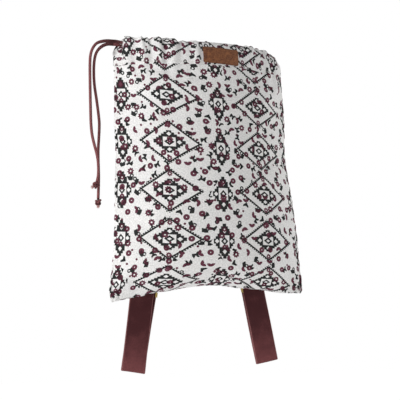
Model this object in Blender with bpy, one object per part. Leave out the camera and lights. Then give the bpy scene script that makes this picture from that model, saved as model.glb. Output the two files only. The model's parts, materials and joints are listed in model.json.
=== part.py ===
"""Drawstring backpack of printed canvas: a stuffed sack drawn shut by a cord that runs in a
casing round its mouth, with two webbing shoulder straps down its back.

Metres, +Z up, the front faces -Y. The origin is on the back, at the middle of the seam that
joins the casing to the sack, where the shoulder straps are sewn on and the bag hangs from.
Across the bag, a share u runs from -1 at the left side seam to 1 at the right one. Up the
sack, a share v runs from 0 at the bottom seam to 1 at the casing seam.
"""

import math

import bmesh
import bpy
from mathutils import Matrix, Vector

# Sack
SACK_WIDTH = 0.353
SACK_HEIGHT = 0.3785
FRONT_DEPTH = 0.060
BACK_DEPTH = 0.050
TOP_THINNING = 0.20
FOOT_ROUNDING = 0.042
CORNER_DROP = 0.0265
SEAM_THICKNESS = 0.003
SIDE_PUCKER = 0.0012
TOP_PUCKER = 0.0022
TOP_PUCKER_REACH = 0.060
CORNER_FOLD = 0.0035

# Both side seams from the bottom seam to the casing seam: share of the height, share of
# half the sack's width
LEFT_SIDE = (
    (0.0, 0.969), (0.033, 0.992), (0.157, 0.954), (0.281, 0.930), (0.431, 0.915),
    (0.637, 0.893), (0.75, 0.900), (0.86, 0.894), (1.0, 0.892),
)
RIGHT_SIDE = (
    (0.0, 0.990), (0.022, 1.010), (0.131, 0.990), (0.268, 0.978), (0.433, 0.945),
    (0.573, 0.903), (0.654, 0.894), (0.764, 0.906), (0.86, 0.907), (1.0, 0.898),
)

# The bottom seam: share across the bag, share of the corner's drop
FOOT_LINE = (
    (-1.0, 1.0), (-0.8, 0.76), (-0.54, 0.53), (-0.22, 0.16), (0.05, 0.04), (0.32, 0.22),
    (0.57, 0.32), (0.82, 0.51), (1.0, 0.58),
)

# Casing round the mouth
CASING_HEIGHT = 0.0485
GATHER_DEPTH = 0.0030
GATHERS_ACROSS = 11
SEAM_GAP = 0.0003
MOUTH_END_INSET = 0.07

# Height of the casing's crest across the bag, as shares of its height
CREST_LINE = (
    (-1.0, 0.62), (-0.975, 0.87), (-0.93, 1.04), (-0.86, 1.06), (-0.68, 1.0), (-0.48, 1.02),
    (-0.25, 0.93), (0.1, 0.94), (0.5, 0.94), (0.74, 0.90), (0.85, 0.82), (0.945, 0.64),
    (1.0, 0.48),
)

# Section of the casing from its seam over the crest to the mouth: share of the bag's
# half depth, share of the crest's height
CASING_SECTION = (
    (1.0, 0.0), (1.02, 0.22), (1.0, 0.46), (0.94, 0.68), (0.84, 0.86), (0.70, 0.97),
    (0.56, 1.0), (0.43, 0.985), (0.31, 0.95), (0.20, 0.905), (0.10, 0.865), (0.03, 0.84),
)

# Drawcord
CORD_DIAMETER = 0.005
CHANNEL_CLEARANCE = 0.0011
CORD_END_GAP = 0.0008
CORD_POINT_SPACING = 2.0
EXIT_LENGTH = 0.020
EXIT_GAPE = 0.009
EXIT_FLOOR_SHARE = 0.65

# The cord's way through the casing, from the upper end at the exit round to the lower one
# Share across the bag, share of its depth, share of the casing's height
CHANNEL_ROUTE = (
    (-0.997, 0.00, 0.926), (-0.960, 0.00, 0.926), (-0.910, -0.20, 0.877), (-0.840, -0.45, 0.775),
    (-0.730, -0.60, 0.66), (-0.540, -0.70, 0.58), (-0.250, -0.74, 0.54), (0.000, -0.74, 0.525),
    (0.320, -0.74, 0.495), (0.570, -0.70, 0.425), (0.750, -0.62, 0.31), (0.865, -0.48, 0.213),
    (0.905, 0.00, 0.184), (0.865, 0.48, 0.213), (0.750, 0.60, 0.30), (0.570, 0.68, 0.407),
    (0.320, 0.72, 0.475), (0.000, 0.72, 0.505), (-0.250, 0.72, 0.515), (-0.540, 0.68, 0.55),
    (-0.730, 0.58, 0.60), (-0.840, 0.42, 0.67), (-0.910, 0.18, 0.74), (-0.960, 0.00, 0.765),
    (-0.997, 0.00, 0.765),
)

# The two free ends down to their knots, in metres from where each leaves the casing
UPPER_TAIL_ROUTE = (
    (0.0, 0.0, 0.0), (-0.0065, 0.0, 0.0), (-0.0155, -0.0005, -0.0012),
    (-0.0280, -0.0012, -0.0064), (-0.0362, -0.0020, -0.0164), (-0.0407, -0.0026, -0.0299),
    (-0.0422, -0.0030, -0.0489), (-0.0428, -0.0034, -0.0799), (-0.0431, -0.0038, -0.1199),
    (-0.0431, -0.0044, -0.1509), (-0.0415, -0.0050, -0.1709), (-0.0375, -0.0056, -0.1899),
    (-0.0337, -0.0060, -0.2069), (-0.0325, -0.0062, -0.2249), (-0.0334, -0.0064, -0.2389),
    (-0.0357, -0.0066, -0.2489),
)
LOWER_TAIL_ROUTE = (
    (0.0, 0.0, 0.0), (-0.0055, 0.0, 0.0), (-0.0139, 0.0004, -0.0017),
    (-0.0228, 0.0008, -0.0065), (-0.0288, 0.0012, -0.0146), (-0.0324, 0.0014, -0.0261),
    (-0.0343, 0.0016, -0.0451), (-0.0339, 0.0018, -0.0711), (-0.0305, 0.0020, -0.0991),
    (-0.0277, 0.0022, -0.1251), (-0.0268, 0.0024, -0.1421), (-0.0284, 0.0025, -0.1671),
    (-0.0299, 0.0024, -0.1861), (-0.0302, 0.0022, -0.2071), (-0.0302, 0.0018, -0.2291),
    (-0.0312, 0.0014, -0.2501), (-0.0323, 0.0010, -0.2681),
)

# Knots: radius of the turned form at heights below its top, in cord diameters
KNOT_FORM = ((0.0, 0.50), (0.15, 0.62), (0.55, 1.02), (1.05, 1.12), (1.55, 0.95), (1.9, 0.58),
             (2.2, 0.50), (2.7, 0.66), (3.1, 0.60))
KNOT_SIDES = 12
UPPER_KNOT_TILT = math.radians(38)
LOWER_KNOT_TILT = math.radians(-6)

# Shoulder straps
WEBBING_WIDTH = 0.040
WEBBING_THICKNESS = 0.0020
STRAP_ROOT_X = 0.035
STRAP_ROOT_BELOW_SEAM = 0.009
STRAP_SEWN_LENGTH = 0.030
STRAP_SPLAY = math.radians(10)
LEFT_LOOP_LENGTH = 0.527
RIGHT_LOOP_LENGTH = 0.518
STRAP_FOOT_HEIGHT = 0.352
STRAP_SPREAD = 0.003
STRAP_STAND_OFF = 0.011
STRAP_PLY_GAP = 0.0012
CLOTH_GAP = 0.0004

# Bar tacks at the straps, where they pass the bottom seam
TACK_LENGTH = 0.0075
TACK_WIDTH = 0.0045
TACK_HEIGHT = 0.0010
TACK_BEYOND_EDGE = 0.0020
TACK_DOWN = 0.388

# Leather patch on the casing
PATCH_WIDTH = 0.061
PATCH_HEIGHT = 0.0275
PATCH_THICKNESS = 0.0018
PATCH_CENTRE = (0.0205, 0.0152)
PATCH_CORNER = 0.0015
PATCH_TILT = math.radians(-1.5)
PATCH_HOLD = 0.012
PATCH_GAP = 0.0007

# Faces
ACROSS = 50
ROWS_UP = 21

AXIS_Y = -(BACK_DEPTH * (1 - TOP_THINNING) + WEBBING_THICKNESS)
BACK, FRONT = 1, -1


def material(name, colour, roughness, metallic=0.0):
    """A plain finish of one colour."""
    made = bpy.data.materials.new(name)
    made.use_nodes = True
    shader = made.node_tree.nodes["Principled BSDF"]
    shader.inputs["Base Color"].default_value = (*colour, 1.0)
    shader.inputs["Roughness"].default_value = roughness
    shader.inputs["Metallic"].default_value = metallic
    return made


def add_object(name, data, finish, parent):
    """Links an object with one finish under a parent."""
    made = bpy.data.objects.new(name, data)
    bpy.context.collection.objects.link(made)
    data.materials.append(finish)
    made.parent = parent
    return made


def add_empty(name, place, parent=None):
    """A point that other objects hang on."""
    made = bpy.data.objects.new(name, None)
    bpy.context.collection.objects.link(made)
    made.location = place
    made.parent = parent
    return made


def smooth_share(t):
    """Eases from 0 to 1, held at the ends."""
    t = min(max(t, 0.0), 1.0)
    return t * t * (3 - 2 * t)


def slope(line, i):
    """Rise of a line of (place, value) points at one of them."""
    (t0, a), (t1, b) = line[max(i - 1, 0)], line[min(i + 1, len(line) - 1)]
    return (b - a) / (t1 - t0)


def along_line(line, t):
    """Reads a value off the smooth curve through a line of (place, value) points."""
    t = min(max(t, line[0][0]), line[-1][0])
    i = next(i for i in range(len(line) - 1) if t <= line[i + 1][0])
    (t0, a), (t1, b) = line[i], line[i + 1]
    span, s = t1 - t0, (t - t0) / (t1 - t0)
    start, end = slope(line, i) * span, slope(line, i + 1) * span
    return (
        a * (2 * s**3 - 3 * s**2 + 1) + b * (3 * s**2 - 2 * s**3)
        + start * (s**3 - 2 * s**2 + s) + end * (s**3 - s**2)
    )


def smooth_route(points, spacing):
    """Evenly spaced points on a smooth curve through the route's own points."""
    knots = [Vector(p) for p in points]
    dense = []
    for i in range(len(knots) - 1):
        before, here = knots[max(i - 1, 0)], knots[i]
        ahead, after = knots[i + 1], knots[min(i + 2, len(knots) - 1)]
        for k in range(12):
            dense.append(curve_point(before, here, ahead, after, k / 12))
    dense.append(knots[-1])
    lengths = [0.0]
    for a, b in zip(dense, dense[1:]):
        lengths.append(lengths[-1] + (b - a).length)
    count = max(2, round(lengths[-1] / spacing) + 1)
    placed, j = [], 0
    for i in range(count):
        target = lengths[-1] * i / (count - 1)
        while j < len(lengths) - 2 and lengths[j + 1] < target:
            j += 1
        share = (target - lengths[j]) / max(lengths[j + 1] - lengths[j], 1e-9)
        placed.append(dense[j].lerp(dense[j + 1], share))
    return placed


def curve_point(before, here, ahead, after, t):
    """A point on the cardinal curve between two knots."""
    start, end = (ahead - before) / 2, (after - here) / 2
    return (
        here * (2 * t**3 - 3 * t**2 + 1)
        + start * (t**3 - 2 * t**2 + t)
        + ahead * (3 * t**2 - 2 * t**3)
        + end * (t**3 - t**2)
    )


def half_width(v, u):
    """Distance of a side seam from the middle at a height share, on the side of u."""
    return SACK_WIDTH / 2 * along_line(LEFT_SIDE if u < 0 else RIGHT_SIDE, v)


def lens(u):
    """Depth share across the bag: full in the middle, nothing at the side seams."""
    return max(0.0, 1 - u * u) ** 0.8


def foot_height(u):
    """Height of the bottom seam, whose corners hang lower than its middle."""
    return -SACK_HEIGHT - CORNER_DROP * along_line(FOOT_LINE, u)


def fullness(v, u, side):
    """Half depth of the stuffed sack before its folds."""
    full = FRONT_DEPTH if side == FRONT else BACK_DEPTH
    belly = 1 - TOP_THINNING * ((v - 0.5) / 0.5) ** 2
    rounding = FOOT_ROUNDING / SACK_HEIGHT * (1 + 1.2 * abs(u) ** 3)
    rise = 1 - min(v / rounding, 1.0)
    return full * belly * math.sqrt(max(0.0, 1 - rise * rise)) * lens(u)


def gather(u, side):
    """Uneven waves of the cloth drawn together on the cord, from -1 to 1."""
    turn = math.tau * GATHERS_ACROSS / 2 * u + (1.3 if side == FRONT else 4.1)
    sway = 1.1 * math.sin(math.tau * 1.3 * u + side) + 0.6 * math.sin(math.tau * 2.3 * u)
    return 0.75 * math.sin(turn + sway) + 0.25 * math.sin(0.53 * turn - 1.7 * sway)


def patch_hold(u, side):
    """How freely the cloth waves: the stitched patch holds it flat in front."""
    if side == BACK:
        return 1.0
    x = u * half_width(1, u)
    off = abs(x - PATCH_CENTRE[0]) - PATCH_WIDTH / 2
    return smooth_share(off / PATCH_HOLD)


def sack_folds(u, v, side):
    """Puckers under the casing and folds that run in from the bottom corners."""
    below = (1 - v) * SACK_HEIGHT / TOP_PUCKER_REACH
    puckers = TOP_PUCKER * gather(u, side) * patch_hold(u, side) * math.exp(-2.2 * below)
    reach = math.hypot((1 - abs(u)) / 0.42, v / 0.30)
    ray = math.atan2(v / 0.30, (1 - abs(u)) / 0.42)
    fade = smooth_share(1 - reach) * smooth_share(reach / 0.25)
    return puckers + CORNER_FOLD * fade * math.cos(7 * ray + (0.7 if u < 0 else 0.0))


def sack_point(u, v, side):
    """A point of the sack's cloth, in the bag's middle frame."""
    z = foot_height(u) * (1 - v)
    edge = SIDE_PUCKER * math.sin(math.tau * 8.5 * v + u) * abs(u) ** 6 * smooth_share(4 * (1 - v))
    x = u * half_width(v, u) + math.copysign(edge, u)
    free = lens(u) ** 0.4
    y = fullness(v, u, side) + sack_folds(u, v, side) * free + SEAM_THICKNESS / 2
    return Vector((x, side * y, z))


def casing_point(u, row, side):
    """A point of the casing: up its outside, over the crest and down into the shut mouth."""
    depth, height = row
    inner = smooth_share((1.0 - depth) / 0.9)
    crest = CASING_HEIGHT * along_line(CREST_LINE, u)
    wave = gather(u, side) * patch_hold(u, side)
    lift = smooth_share(height / 0.9) * GATHER_DEPTH * lens(u) ** 0.4
    if height < 1 and depth < 0.6:
        wave, lift = gather(u, side), lift * (0.3 + 0.7 * depth / 0.6)
    free = lens(u) ** 0.4
    start = fullness(1, u, side) + TOP_PUCKER * gather(u, side) * patch_hold(u, side) * free
    y = start * depth + wave * lift + SEAM_THICKNESS / 2
    x = u * half_width(1, u) * (1 - MOUTH_END_INSET * inner * abs(u) ** 4)
    z = SEAM_GAP + crest * height + 0.5 * wave * lift
    return Vector((x, side * max(y, SEAM_THICKNESS / 2), z))


def grid_box(across, up):
    """A closed box of two gridded walls joined by one strip all round, x and z from 0 to 1."""
    bm = bmesh.new()
    bmesh.ops.create_cube(bm, size=1.0, matrix=Matrix.Translation((0.5, 0.0, 0.5)))
    for axis, cuts in ((0, across - 1), (2, up - 1)):
        rails = [e for e in bm.edges if abs((e.verts[0].co - e.verts[1].co)[axis]) > 1e-6]
        bmesh.ops.subdivide_edges(bm, edges=rails, cuts=cuts, use_grid_fill=True)
    return bm


def finish_mesh(bm, name, crease=math.radians(40)):
    """Turns the faces outwards and writes the mesh, shaded smooth."""
    bmesh.ops.recalc_face_normals(bm, faces=bm.faces)
    mesh = bpy.data.meshes.new(name)
    bm.to_mesh(mesh)
    bm.free()
    mesh.shade_smooth()
    mesh.set_sharp_from_angle(angle=crease)
    return mesh


def side_of(vert):
    """Which wall of the grid box a corner is on."""
    return FRONT if vert.co.y < 0 else BACK


def across_share(x):
    """Spreads columns of points so that they lie closer near the side seams."""
    return math.sin(math.pi / 2 * (2 * x - 1) * 0.94) / math.sin(math.pi / 2 * 0.94)


def make_sack(finish, axis):
    """The stuffed sack: two panels of canvas, sewn together at the sides and the bottom."""
    bm = grid_box(ACROSS, ROWS_UP)
    for vert in bm.verts:
        u, v = across_share(vert.co.x), vert.co.z**1.6
        vert.co = sack_point(u, v, side_of(vert))
    return add_object("sack_body", finish_mesh(bm, "sack_body"), finish, axis)


def make_casing(finish, axis):
    """The casing strip that holds the drawcord, gathered and shut over the sack."""
    rows = len(CASING_SECTION) - 1
    bm = grid_box(ACROSS, rows)
    for vert in bm.verts:
        row = CASING_SECTION[round(vert.co.z * rows)]
        vert.co = casing_point(across_share(vert.co.x), row, side_of(vert))
    casing = add_object("casing_band", finish_mesh(bm, "casing_band"), finish, axis)
    for cutter in (channel_cutter(axis), exit_cutter(axis)):
        cut = casing.modifiers.new(cutter.name, "BOOLEAN")
        cut.operation = "DIFFERENCE"
        cut.object = cutter
    return casing


def guide(name, mesh, axis):
    """An object that only cuts and isn't part of the bag."""
    made = bpy.data.objects.new(name, mesh)
    bpy.context.collection.objects.link(made)
    made.parent = axis
    made.hide_render = True
    made.display_type = "WIRE"
    return made


def cord_points(route):
    """The cord's own points along a route."""
    return smooth_route(route, CORD_POINT_SPACING * CORD_DIAMETER)


def cord_curve(name, points, radius):
    """A round cord through its points."""
    curve = bpy.data.curves.new(name, "CURVE")
    curve.dimensions = "3D"
    curve.bevel_depth = radius
    curve.bevel_resolution = 2
    curve.use_fill_caps = True
    spline = curve.splines.new("POLY")
    spline.points.add(len(points) - 1)
    for target, place in zip(spline.points, points):
        target.co = (*place, 1.0)
    return curve


def channel_route():
    """The cord's way through the casing, in metres."""
    return [
        (u * half_width(1, u), deep * fullness(1, u, FRONT if deep < 0 else BACK),
         high * CASING_HEIGHT)
        for u, deep, high in CHANNEL_ROUTE
    ]


def tail_route(end, route):
    """A free end of the cord, from where it leaves the casing."""
    x, y, z = channel_route()[end]
    return [(x - CORD_END_GAP + dx, y + dy, z + dz) for dx, dy, dz in route]


def channel_cutter(axis):
    """The round way that the cord keeps open through the casing."""
    points = cord_points(channel_route())[1:-1]
    curve = cord_curve("channel", points, CORD_DIAMETER / 2 + CHANNEL_CLEARANCE)
    pattern = bpy.data.objects.new("channel_curve", curve)
    mesh = bpy.data.meshes.new_from_object(pattern)
    bpy.data.objects.remove(pattern)
    return guide("channel", mesh, axis)


def exit_cutter(axis):
    """The open end of the casing, at its top left corner, where both cord ends come out."""
    beyond = 0.010
    size = (EXIT_LENGTH + beyond, EXIT_GAPE, CASING_HEIGHT)
    bm = bmesh.new()
    bmesh.ops.create_cube(bm, size=1.0)
    bmesh.ops.scale(bm, vec=size, verts=bm.verts)
    upright = [e for e in bm.edges if abs((e.verts[0].co - e.verts[1].co).z) > size[2] / 2]
    bmesh.ops.bevel(bm, geom=upright, offset=EXIT_GAPE / 3, segments=3, profile=0.5,
                    affect="EDGES", material=-1)
    middle = -half_width(1, -1) - beyond + size[0] / 2
    floor = EXIT_FLOOR_SHARE * CASING_HEIGHT
    bmesh.ops.translate(bm, vec=(middle, 0.0, floor + size[2] / 2), verts=bm.verts)
    return guide("exit_notch", finish_mesh(bm, "exit_notch"), axis)


def make_cord(name, route, finish, axis):
    """One stretch of the drawcord."""
    curve = cord_curve(name, cord_points(route), CORD_DIAMETER / 2)
    return add_object(name, curve, finish, axis)


def make_knot(name, tail, tilt, finish, axis):
    """An overhand knot and its frayed tip, turned as one solid below the end of a tail."""
    bm = bmesh.new()
    ring = None
    for below, radius in KNOT_FORM:
        made = bmesh.ops.create_circle(
            bm, segments=KNOT_SIDES, radius=radius * CORD_DIAMETER,
            matrix=Matrix.Translation((0, 0, -below * CORD_DIAMETER)), cap_ends=False,
        )["verts"]
        edges = [e for e in bm.edges if all(v in made for v in e.verts)]
        if ring:
            bmesh.ops.bridge_loops(bm, edges=ring + edges)
        ring = edges
    bmesh.ops.holes_fill(bm, edges=[e for e in bm.edges if e.is_boundary], sides=KNOT_SIDES)
    knot = add_object(name, finish_mesh(bm, name), finish, axis)
    end = cord_points(tail)
    fall = (end[-1] - end[-2]).normalized()
    swing = fall.rotation_difference(Vector((0, 0, -1))).to_matrix().inverted()
    knot.location = end[-1] + fall * CORD_END_GAP
    knot.rotation_euler = swing.to_euler()
    shear_tip(knot.data, tilt)
    return knot


def shear_tip(mesh, tilt):
    """Bends the knot's lower half and its tip to one side."""
    turn = Matrix.Rotation(tilt, 3, "Y")
    for vert in mesh.vertices:
        below = -vert.co.z / CORD_DIAMETER
        share = smooth_share((below - 0.4) / 1.6)
        pivot = Vector((0, 0, -1.0 * CORD_DIAMETER))
        vert.co = vert.co.lerp(turn @ (vert.co - pivot) + pivot, share)


def back_reach(x, z):
    """How far back the sack reaches round a place on its back panel."""
    reach = 0.0
    for dx in (-0.5, -0.25, 0.0, 0.25, 0.5):
        for dz in (-0.006, 0.0, 0.006):
            at_z = min(z + dz, 0.0)
            v = 1 + at_z / SACK_HEIGHT
            if v <= 0:
                continue
            u = (x + dx * WEBBING_WIDTH) / half_width(v, x)
            if abs(u) < 1:
                reach = max(reach, sack_point(u, v, BACK).y)
    return reach


def loop_length(side):
    """How far a strap's fold hangs below the casing seam."""
    return LEFT_LOOP_LENGTH if side < 0 else RIGHT_LOOP_LENGTH


def strap_path(side):
    """The strap from its root down the back, round its fold and up to its sewn foot.

    The points are (depth behind the middle, distance down the strap, distance outwards)."""
    def panel(down):
        x = side * (STRAP_ROOT_X + math.sin(STRAP_SPLAY) * down)
        return back_reach(x, -STRAP_ROOT_BELOW_SEAM - math.cos(STRAP_SPLAY) * down)

    lie = CLOTH_GAP + WEBBING_THICKNESS / 2
    ply = WEBBING_THICKNESS + STRAP_PLY_GAP
    root = max(panel(down) for down in (0.0, STRAP_SEWN_LENGTH / 2, STRAP_SEWN_LENGTH)) + lie
    foot_down = STRAP_FOOT_HEIGHT - STRAP_ROOT_BELOW_SEAM
    foot = max(panel(foot_down - k * STRAP_SEWN_LENGTH / 2) for k in range(3)) + lie
    belly = max(panel(foot_down * k / 12) for k in range(13)) + lie
    hang = foot + ply
    fold = loop_length(side) - STRAP_ROOT_BELOW_SEAM
    down_the_back = (
        (root, 0.0), (root, STRAP_SEWN_LENGTH), (belly + 0.75 * STRAP_STAND_OFF, foot_down * 0.27),
        (belly + STRAP_STAND_OFF, foot_down * 0.48), (belly + 0.6 * STRAP_STAND_OFF, foot_down * 0.72),
        (max(hang, belly), foot_down * 0.93), (hang + 0.0006, foot_down + 0.02),
        (hang, fold - 0.030), (hang, fold - 0.012),
    )
    path = [(p.x, p.y, 0.0) for p in smooth_route([(y, d, 0) for y, d in down_the_back], 0.012)]
    middle, radius = (foot + hang) / 2, ply / 2
    path += [
        (middle + radius * math.cos(a), fold - radius + radius * math.sin(a), 0.0)
        for a in (math.pi * k / 8 for k in range(9))
    ]
    up_the_front = ((foot, fold - 0.012), (foot, (fold + foot_down) / 2), (foot, foot_down),
                    (foot, foot_down - STRAP_SEWN_LENGTH))
    path += [
        (p.x, p.y, side * STRAP_SPREAD * (fold - p.y) / (fold - foot_down))
        for p in smooth_route([(y, d, 0) for y, d in up_the_front], 0.020)
    ]
    return path


def make_strap(name, side, finish, axis):
    """A shoulder strap of flat webbing, whose slack hangs in a loop below the bag."""
    bm = bmesh.new()
    edge = [bm.verts.new((out - WEBBING_WIDTH / 2, y, -down)) for y, down, out in strap_path(side)]
    rails = [bm.edges.new(pair) for pair in zip(edge, edge[1:])]
    swept = bmesh.ops.extrude_edge_only(bm, edges=rails)["geom"]
    far = [g for g in swept if isinstance(g, bmesh.types.BMVert)]
    bmesh.ops.translate(bm, vec=(WEBBING_WIDTH, 0, 0), verts=far)
    strap = add_object(name, finish_mesh(bm, name), finish, axis)
    strap.location = (side * STRAP_ROOT_X, 0.0, -STRAP_ROOT_BELOW_SEAM)
    strap.rotation_euler = (0.0, -side * STRAP_SPLAY, 0.0)
    wall = strap.modifiers.new("webbing", "SOLIDIFY")
    wall.thickness = WEBBING_THICKNESS
    wall.offset = 0.0
    wall.use_even_offset = True
    return strap


def make_tack(name, side, finish, strap):
    """A bar of thread sewn over the inner edge of a strap, just under the bottom seam."""
    down = TACK_DOWN - STRAP_ROOT_BELOW_SEAM
    foot, _, _ = strap_path(side)[-1]
    fold = loop_length(side) - STRAP_ROOT_BELOW_SEAM
    spread = STRAP_SPREAD * (fold - down) / (fold - STRAP_FOOT_HEIGHT + STRAP_ROOT_BELOW_SEAM)
    bm = bmesh.new()
    bmesh.ops.create_cube(bm, size=1.0)
    bmesh.ops.scale(bm, vec=(TACK_WIDTH, TACK_HEIGHT, TACK_LENGTH), verts=bm.verts)
    bmesh.ops.bevel(bm, geom=bm.edges[:], offset=TACK_HEIGHT * 0.3, segments=2, profile=0.5,
                    affect="EDGES", material=-1)
    tack = add_object(name, finish_mesh(bm, name), finish, strap)
    inner = WEBBING_WIDTH / 2 + TACK_BEYOND_EDGE - TACK_WIDTH / 2 - spread
    front = foot - WEBBING_THICKNESS / 2 - SEAM_GAP - TACK_HEIGHT / 2
    tack.location = (-side * inner, front, -down)
    return tack


def casing_front(x, z):
    """Depth of the casing's outside in front at a place, between the rows of its section."""
    u = x / half_width(1, x)
    crest = CASING_HEIGHT * along_line(CREST_LINE, u)
    share = max(0.0, (z - SEAM_GAP) / crest)
    rows = CASING_SECTION
    for low, high in zip(rows, rows[1:]):
        if share <= high[1]:
            t = (share - low[1]) / (high[1] - low[1])
            return casing_point(u, low, FRONT).y * (1 - t) + casing_point(u, high, FRONT).y * t
    return 0.0


def make_patch(finish, axis):
    """The leather patch, bent to the casing's front and sewn flat on it."""
    bm = bmesh.new()
    bmesh.ops.create_cube(bm, size=1.0)
    bmesh.ops.scale(bm, vec=(PATCH_WIDTH, PATCH_THICKNESS, PATCH_HEIGHT), verts=bm.verts)
    corners = [e for e in bm.edges if abs((e.verts[0].co - e.verts[1].co).y) > 1e-6]
    bmesh.ops.bevel(bm, geom=corners, offset=PATCH_CORNER, segments=2, profile=0.5,
                    affect="EDGES", material=-1)
    for step in range(1, 14):
        plane = -PATCH_WIDTH / 2 + PATCH_WIDTH * step / 14
        bmesh.ops.bisect_plane(bm, geom=bm.verts[:] + bm.edges[:] + bm.faces[:],
                               plane_co=(plane, 0, 0), plane_no=(1, 0, 0))
    for step in range(1, 5):
        plane = -PATCH_HEIGHT / 2 + PATCH_HEIGHT * step / 5
        bmesh.ops.bisect_plane(bm, geom=bm.verts[:] + bm.edges[:] + bm.faces[:],
                               plane_co=(0, 0, plane), plane_no=(0, 0, 1))
    bmesh.ops.rotate(bm, verts=bm.verts, matrix=Matrix.Rotation(-PATCH_TILT, 3, "Y"))
    bmesh.ops.translate(bm, vec=(PATCH_CENTRE[0], 0, PATCH_CENTRE[1]), verts=bm.verts)
    for vert in bm.verts:
        lift = PATCH_GAP + PATCH_THICKNESS / 2 - vert.co.y
        vert.co.y = casing_front(vert.co.x, vert.co.z) - lift
    return add_object("leather_patch", finish_mesh(bm, "leather_patch"), finish, axis)


def main():
    """Builds the backpack."""
    for old in list(bpy.data.objects):
        bpy.data.objects.remove(old)
    canvas = material("printed_canvas", (0.72, 0.70, 0.68), 0.9)
    cord = material("maroon_cord", (0.18, 0.055, 0.06), 0.85)
    webbing = material("maroon_webbing", (0.075, 0.02, 0.024), 0.85)
    leather = material("tan_leather", (0.16, 0.07, 0.035), 0.6)
    thread = material("ochre_thread", (0.45, 0.32, 0.08), 0.8)
    hang_point = add_empty("hang_point", (0, 0, 0))
    axis = add_empty("bag_middle", (0, AXIS_Y, 0), hang_point)
    make_sack(canvas, axis)
    make_casing(canvas, axis)
    make_patch(leather, axis)
    make_cord("drawcord_run", channel_route(), cord, axis)
    for label, end, route, tilt in (("upper", 0, UPPER_TAIL_ROUTE, UPPER_KNOT_TILT),
                                    ("lower", -1, LOWER_TAIL_ROUTE, LOWER_KNOT_TILT)):
        tail = tail_route(end, route)
        make_cord(f"drawcord_tail_{label}", tail, cord, axis)
        make_knot(f"end_knot_{label}", tail, tilt, cord, axis)
    for label, side in (("left", -1), ("right", 1)):
        strap = make_strap(f"shoulder_strap_{label}", side, webbing, axis)
        make_tack(f"strap_tack_{label}", side, thread, strap)


main()
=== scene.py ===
"""Looks of the drawstring backpack: printed canvas drawn shut on a braided cord.

Metres, +Z up, the front faces -Y. The origin is on the back, at the middle of the seam that
joins the casing to the sack. Across the bag a share u runs from -1 at the left side seam to 1
at the right one; up the sack a share v runs from 0 at the bottom seam to 1 at the casing seam.
"""

import json
import logging
import math
from dataclasses import dataclass, field
from enum import Enum
from typing import Callable, Iterable, Sequence

import bmesh
import bpy
from mathutils import Matrix, Vector

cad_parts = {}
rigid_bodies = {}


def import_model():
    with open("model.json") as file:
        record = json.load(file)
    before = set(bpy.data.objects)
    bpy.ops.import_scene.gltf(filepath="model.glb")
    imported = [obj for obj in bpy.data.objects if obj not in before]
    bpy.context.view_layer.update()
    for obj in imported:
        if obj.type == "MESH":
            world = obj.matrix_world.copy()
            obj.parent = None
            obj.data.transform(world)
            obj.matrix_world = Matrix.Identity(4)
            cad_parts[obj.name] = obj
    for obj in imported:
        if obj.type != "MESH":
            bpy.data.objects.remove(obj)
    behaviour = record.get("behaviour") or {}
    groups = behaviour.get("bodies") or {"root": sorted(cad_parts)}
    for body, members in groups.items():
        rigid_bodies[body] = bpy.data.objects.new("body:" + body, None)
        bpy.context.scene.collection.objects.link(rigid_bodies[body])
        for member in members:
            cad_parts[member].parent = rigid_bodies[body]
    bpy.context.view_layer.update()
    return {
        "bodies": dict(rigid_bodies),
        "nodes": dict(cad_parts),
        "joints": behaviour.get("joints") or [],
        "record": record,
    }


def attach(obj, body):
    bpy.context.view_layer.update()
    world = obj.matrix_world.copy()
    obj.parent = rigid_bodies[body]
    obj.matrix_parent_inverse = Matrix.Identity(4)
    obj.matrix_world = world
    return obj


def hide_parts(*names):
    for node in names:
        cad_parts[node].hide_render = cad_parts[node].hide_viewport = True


LOG = logging.getLogger("backpack")
Pair = tuple[float, float]
Line = Sequence[Pair]
Route = Sequence[tuple[float, float, float]]
Colour = tuple[float, float, float]
Material = bpy.types.Material
Socket = bpy.types.NodeSocket
BODY = "root"
WELD = 0.00001


class Side(Enum):
    """The two panels of the bag."""

    FRONT = -1
    BACK = 1


class Hand(Enum):
    """The two ends of the bag, as seen from its front."""

    LEFT = -1
    RIGHT = 1


# Shared curves


def eased(t: float) -> float:
    """Eases from 0 to 1, held at the ends."""
    t = min(max(t, 0.0), 1.0)
    return t * t * (3 - 2 * t)


def slope(line: Line, i: int) -> float:
    """Rise of a line of (place, value) points at one of them."""
    (t0, a), (t1, b) = line[max(i - 1, 0)], line[min(i + 1, len(line) - 1)]
    return (b - a) / (t1 - t0)


def along(line: Line, t: float) -> float:
    """Reads a value off the smooth curve through a line of (place, value) points.

    Args:
        line: the points, in order of place.
        t: the place to read at, held inside the line.

    Returns:
        The curve's value there.
    """
    t = min(max(t, line[0][0]), line[-1][0])
    i = next(i for i in range(len(line) - 1) if t <= line[i + 1][0])
    (t0, a), (t1, b) = line[i], line[i + 1]
    span, s = t1 - t0, (t - t0) / (t1 - t0)
    start, end = slope(line, i) * span, slope(line, i + 1) * span
    return (
        a * (2 * s**3 - 3 * s**2 + 1)
        + b * (3 * s**2 - 2 * s**3)
        + start * (s**3 - 2 * s**2 + s)
        + end * (s**3 - s**2)
    )


def hermite(before: Vector, here: Vector, ahead: Vector, after: Vector, t: float) -> Vector:
    """A point on the cardinal curve between two knots.

    Args:
        before: the knot before the two.
        here: the first of the two.
        ahead: the second.
        after: the knot after them.
        t: share of the way between the two.

    Returns:
        The point.
    """
    start, end = (ahead - before) / 2, (after - here) / 2
    return (
        here * (2 * t**3 - 3 * t**2 + 1)
        + start * (t**3 - 2 * t**2 + t)
        + ahead * (3 * t**2 - 2 * t**3)
        + end * (t**3 - t**2)
    )


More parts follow.
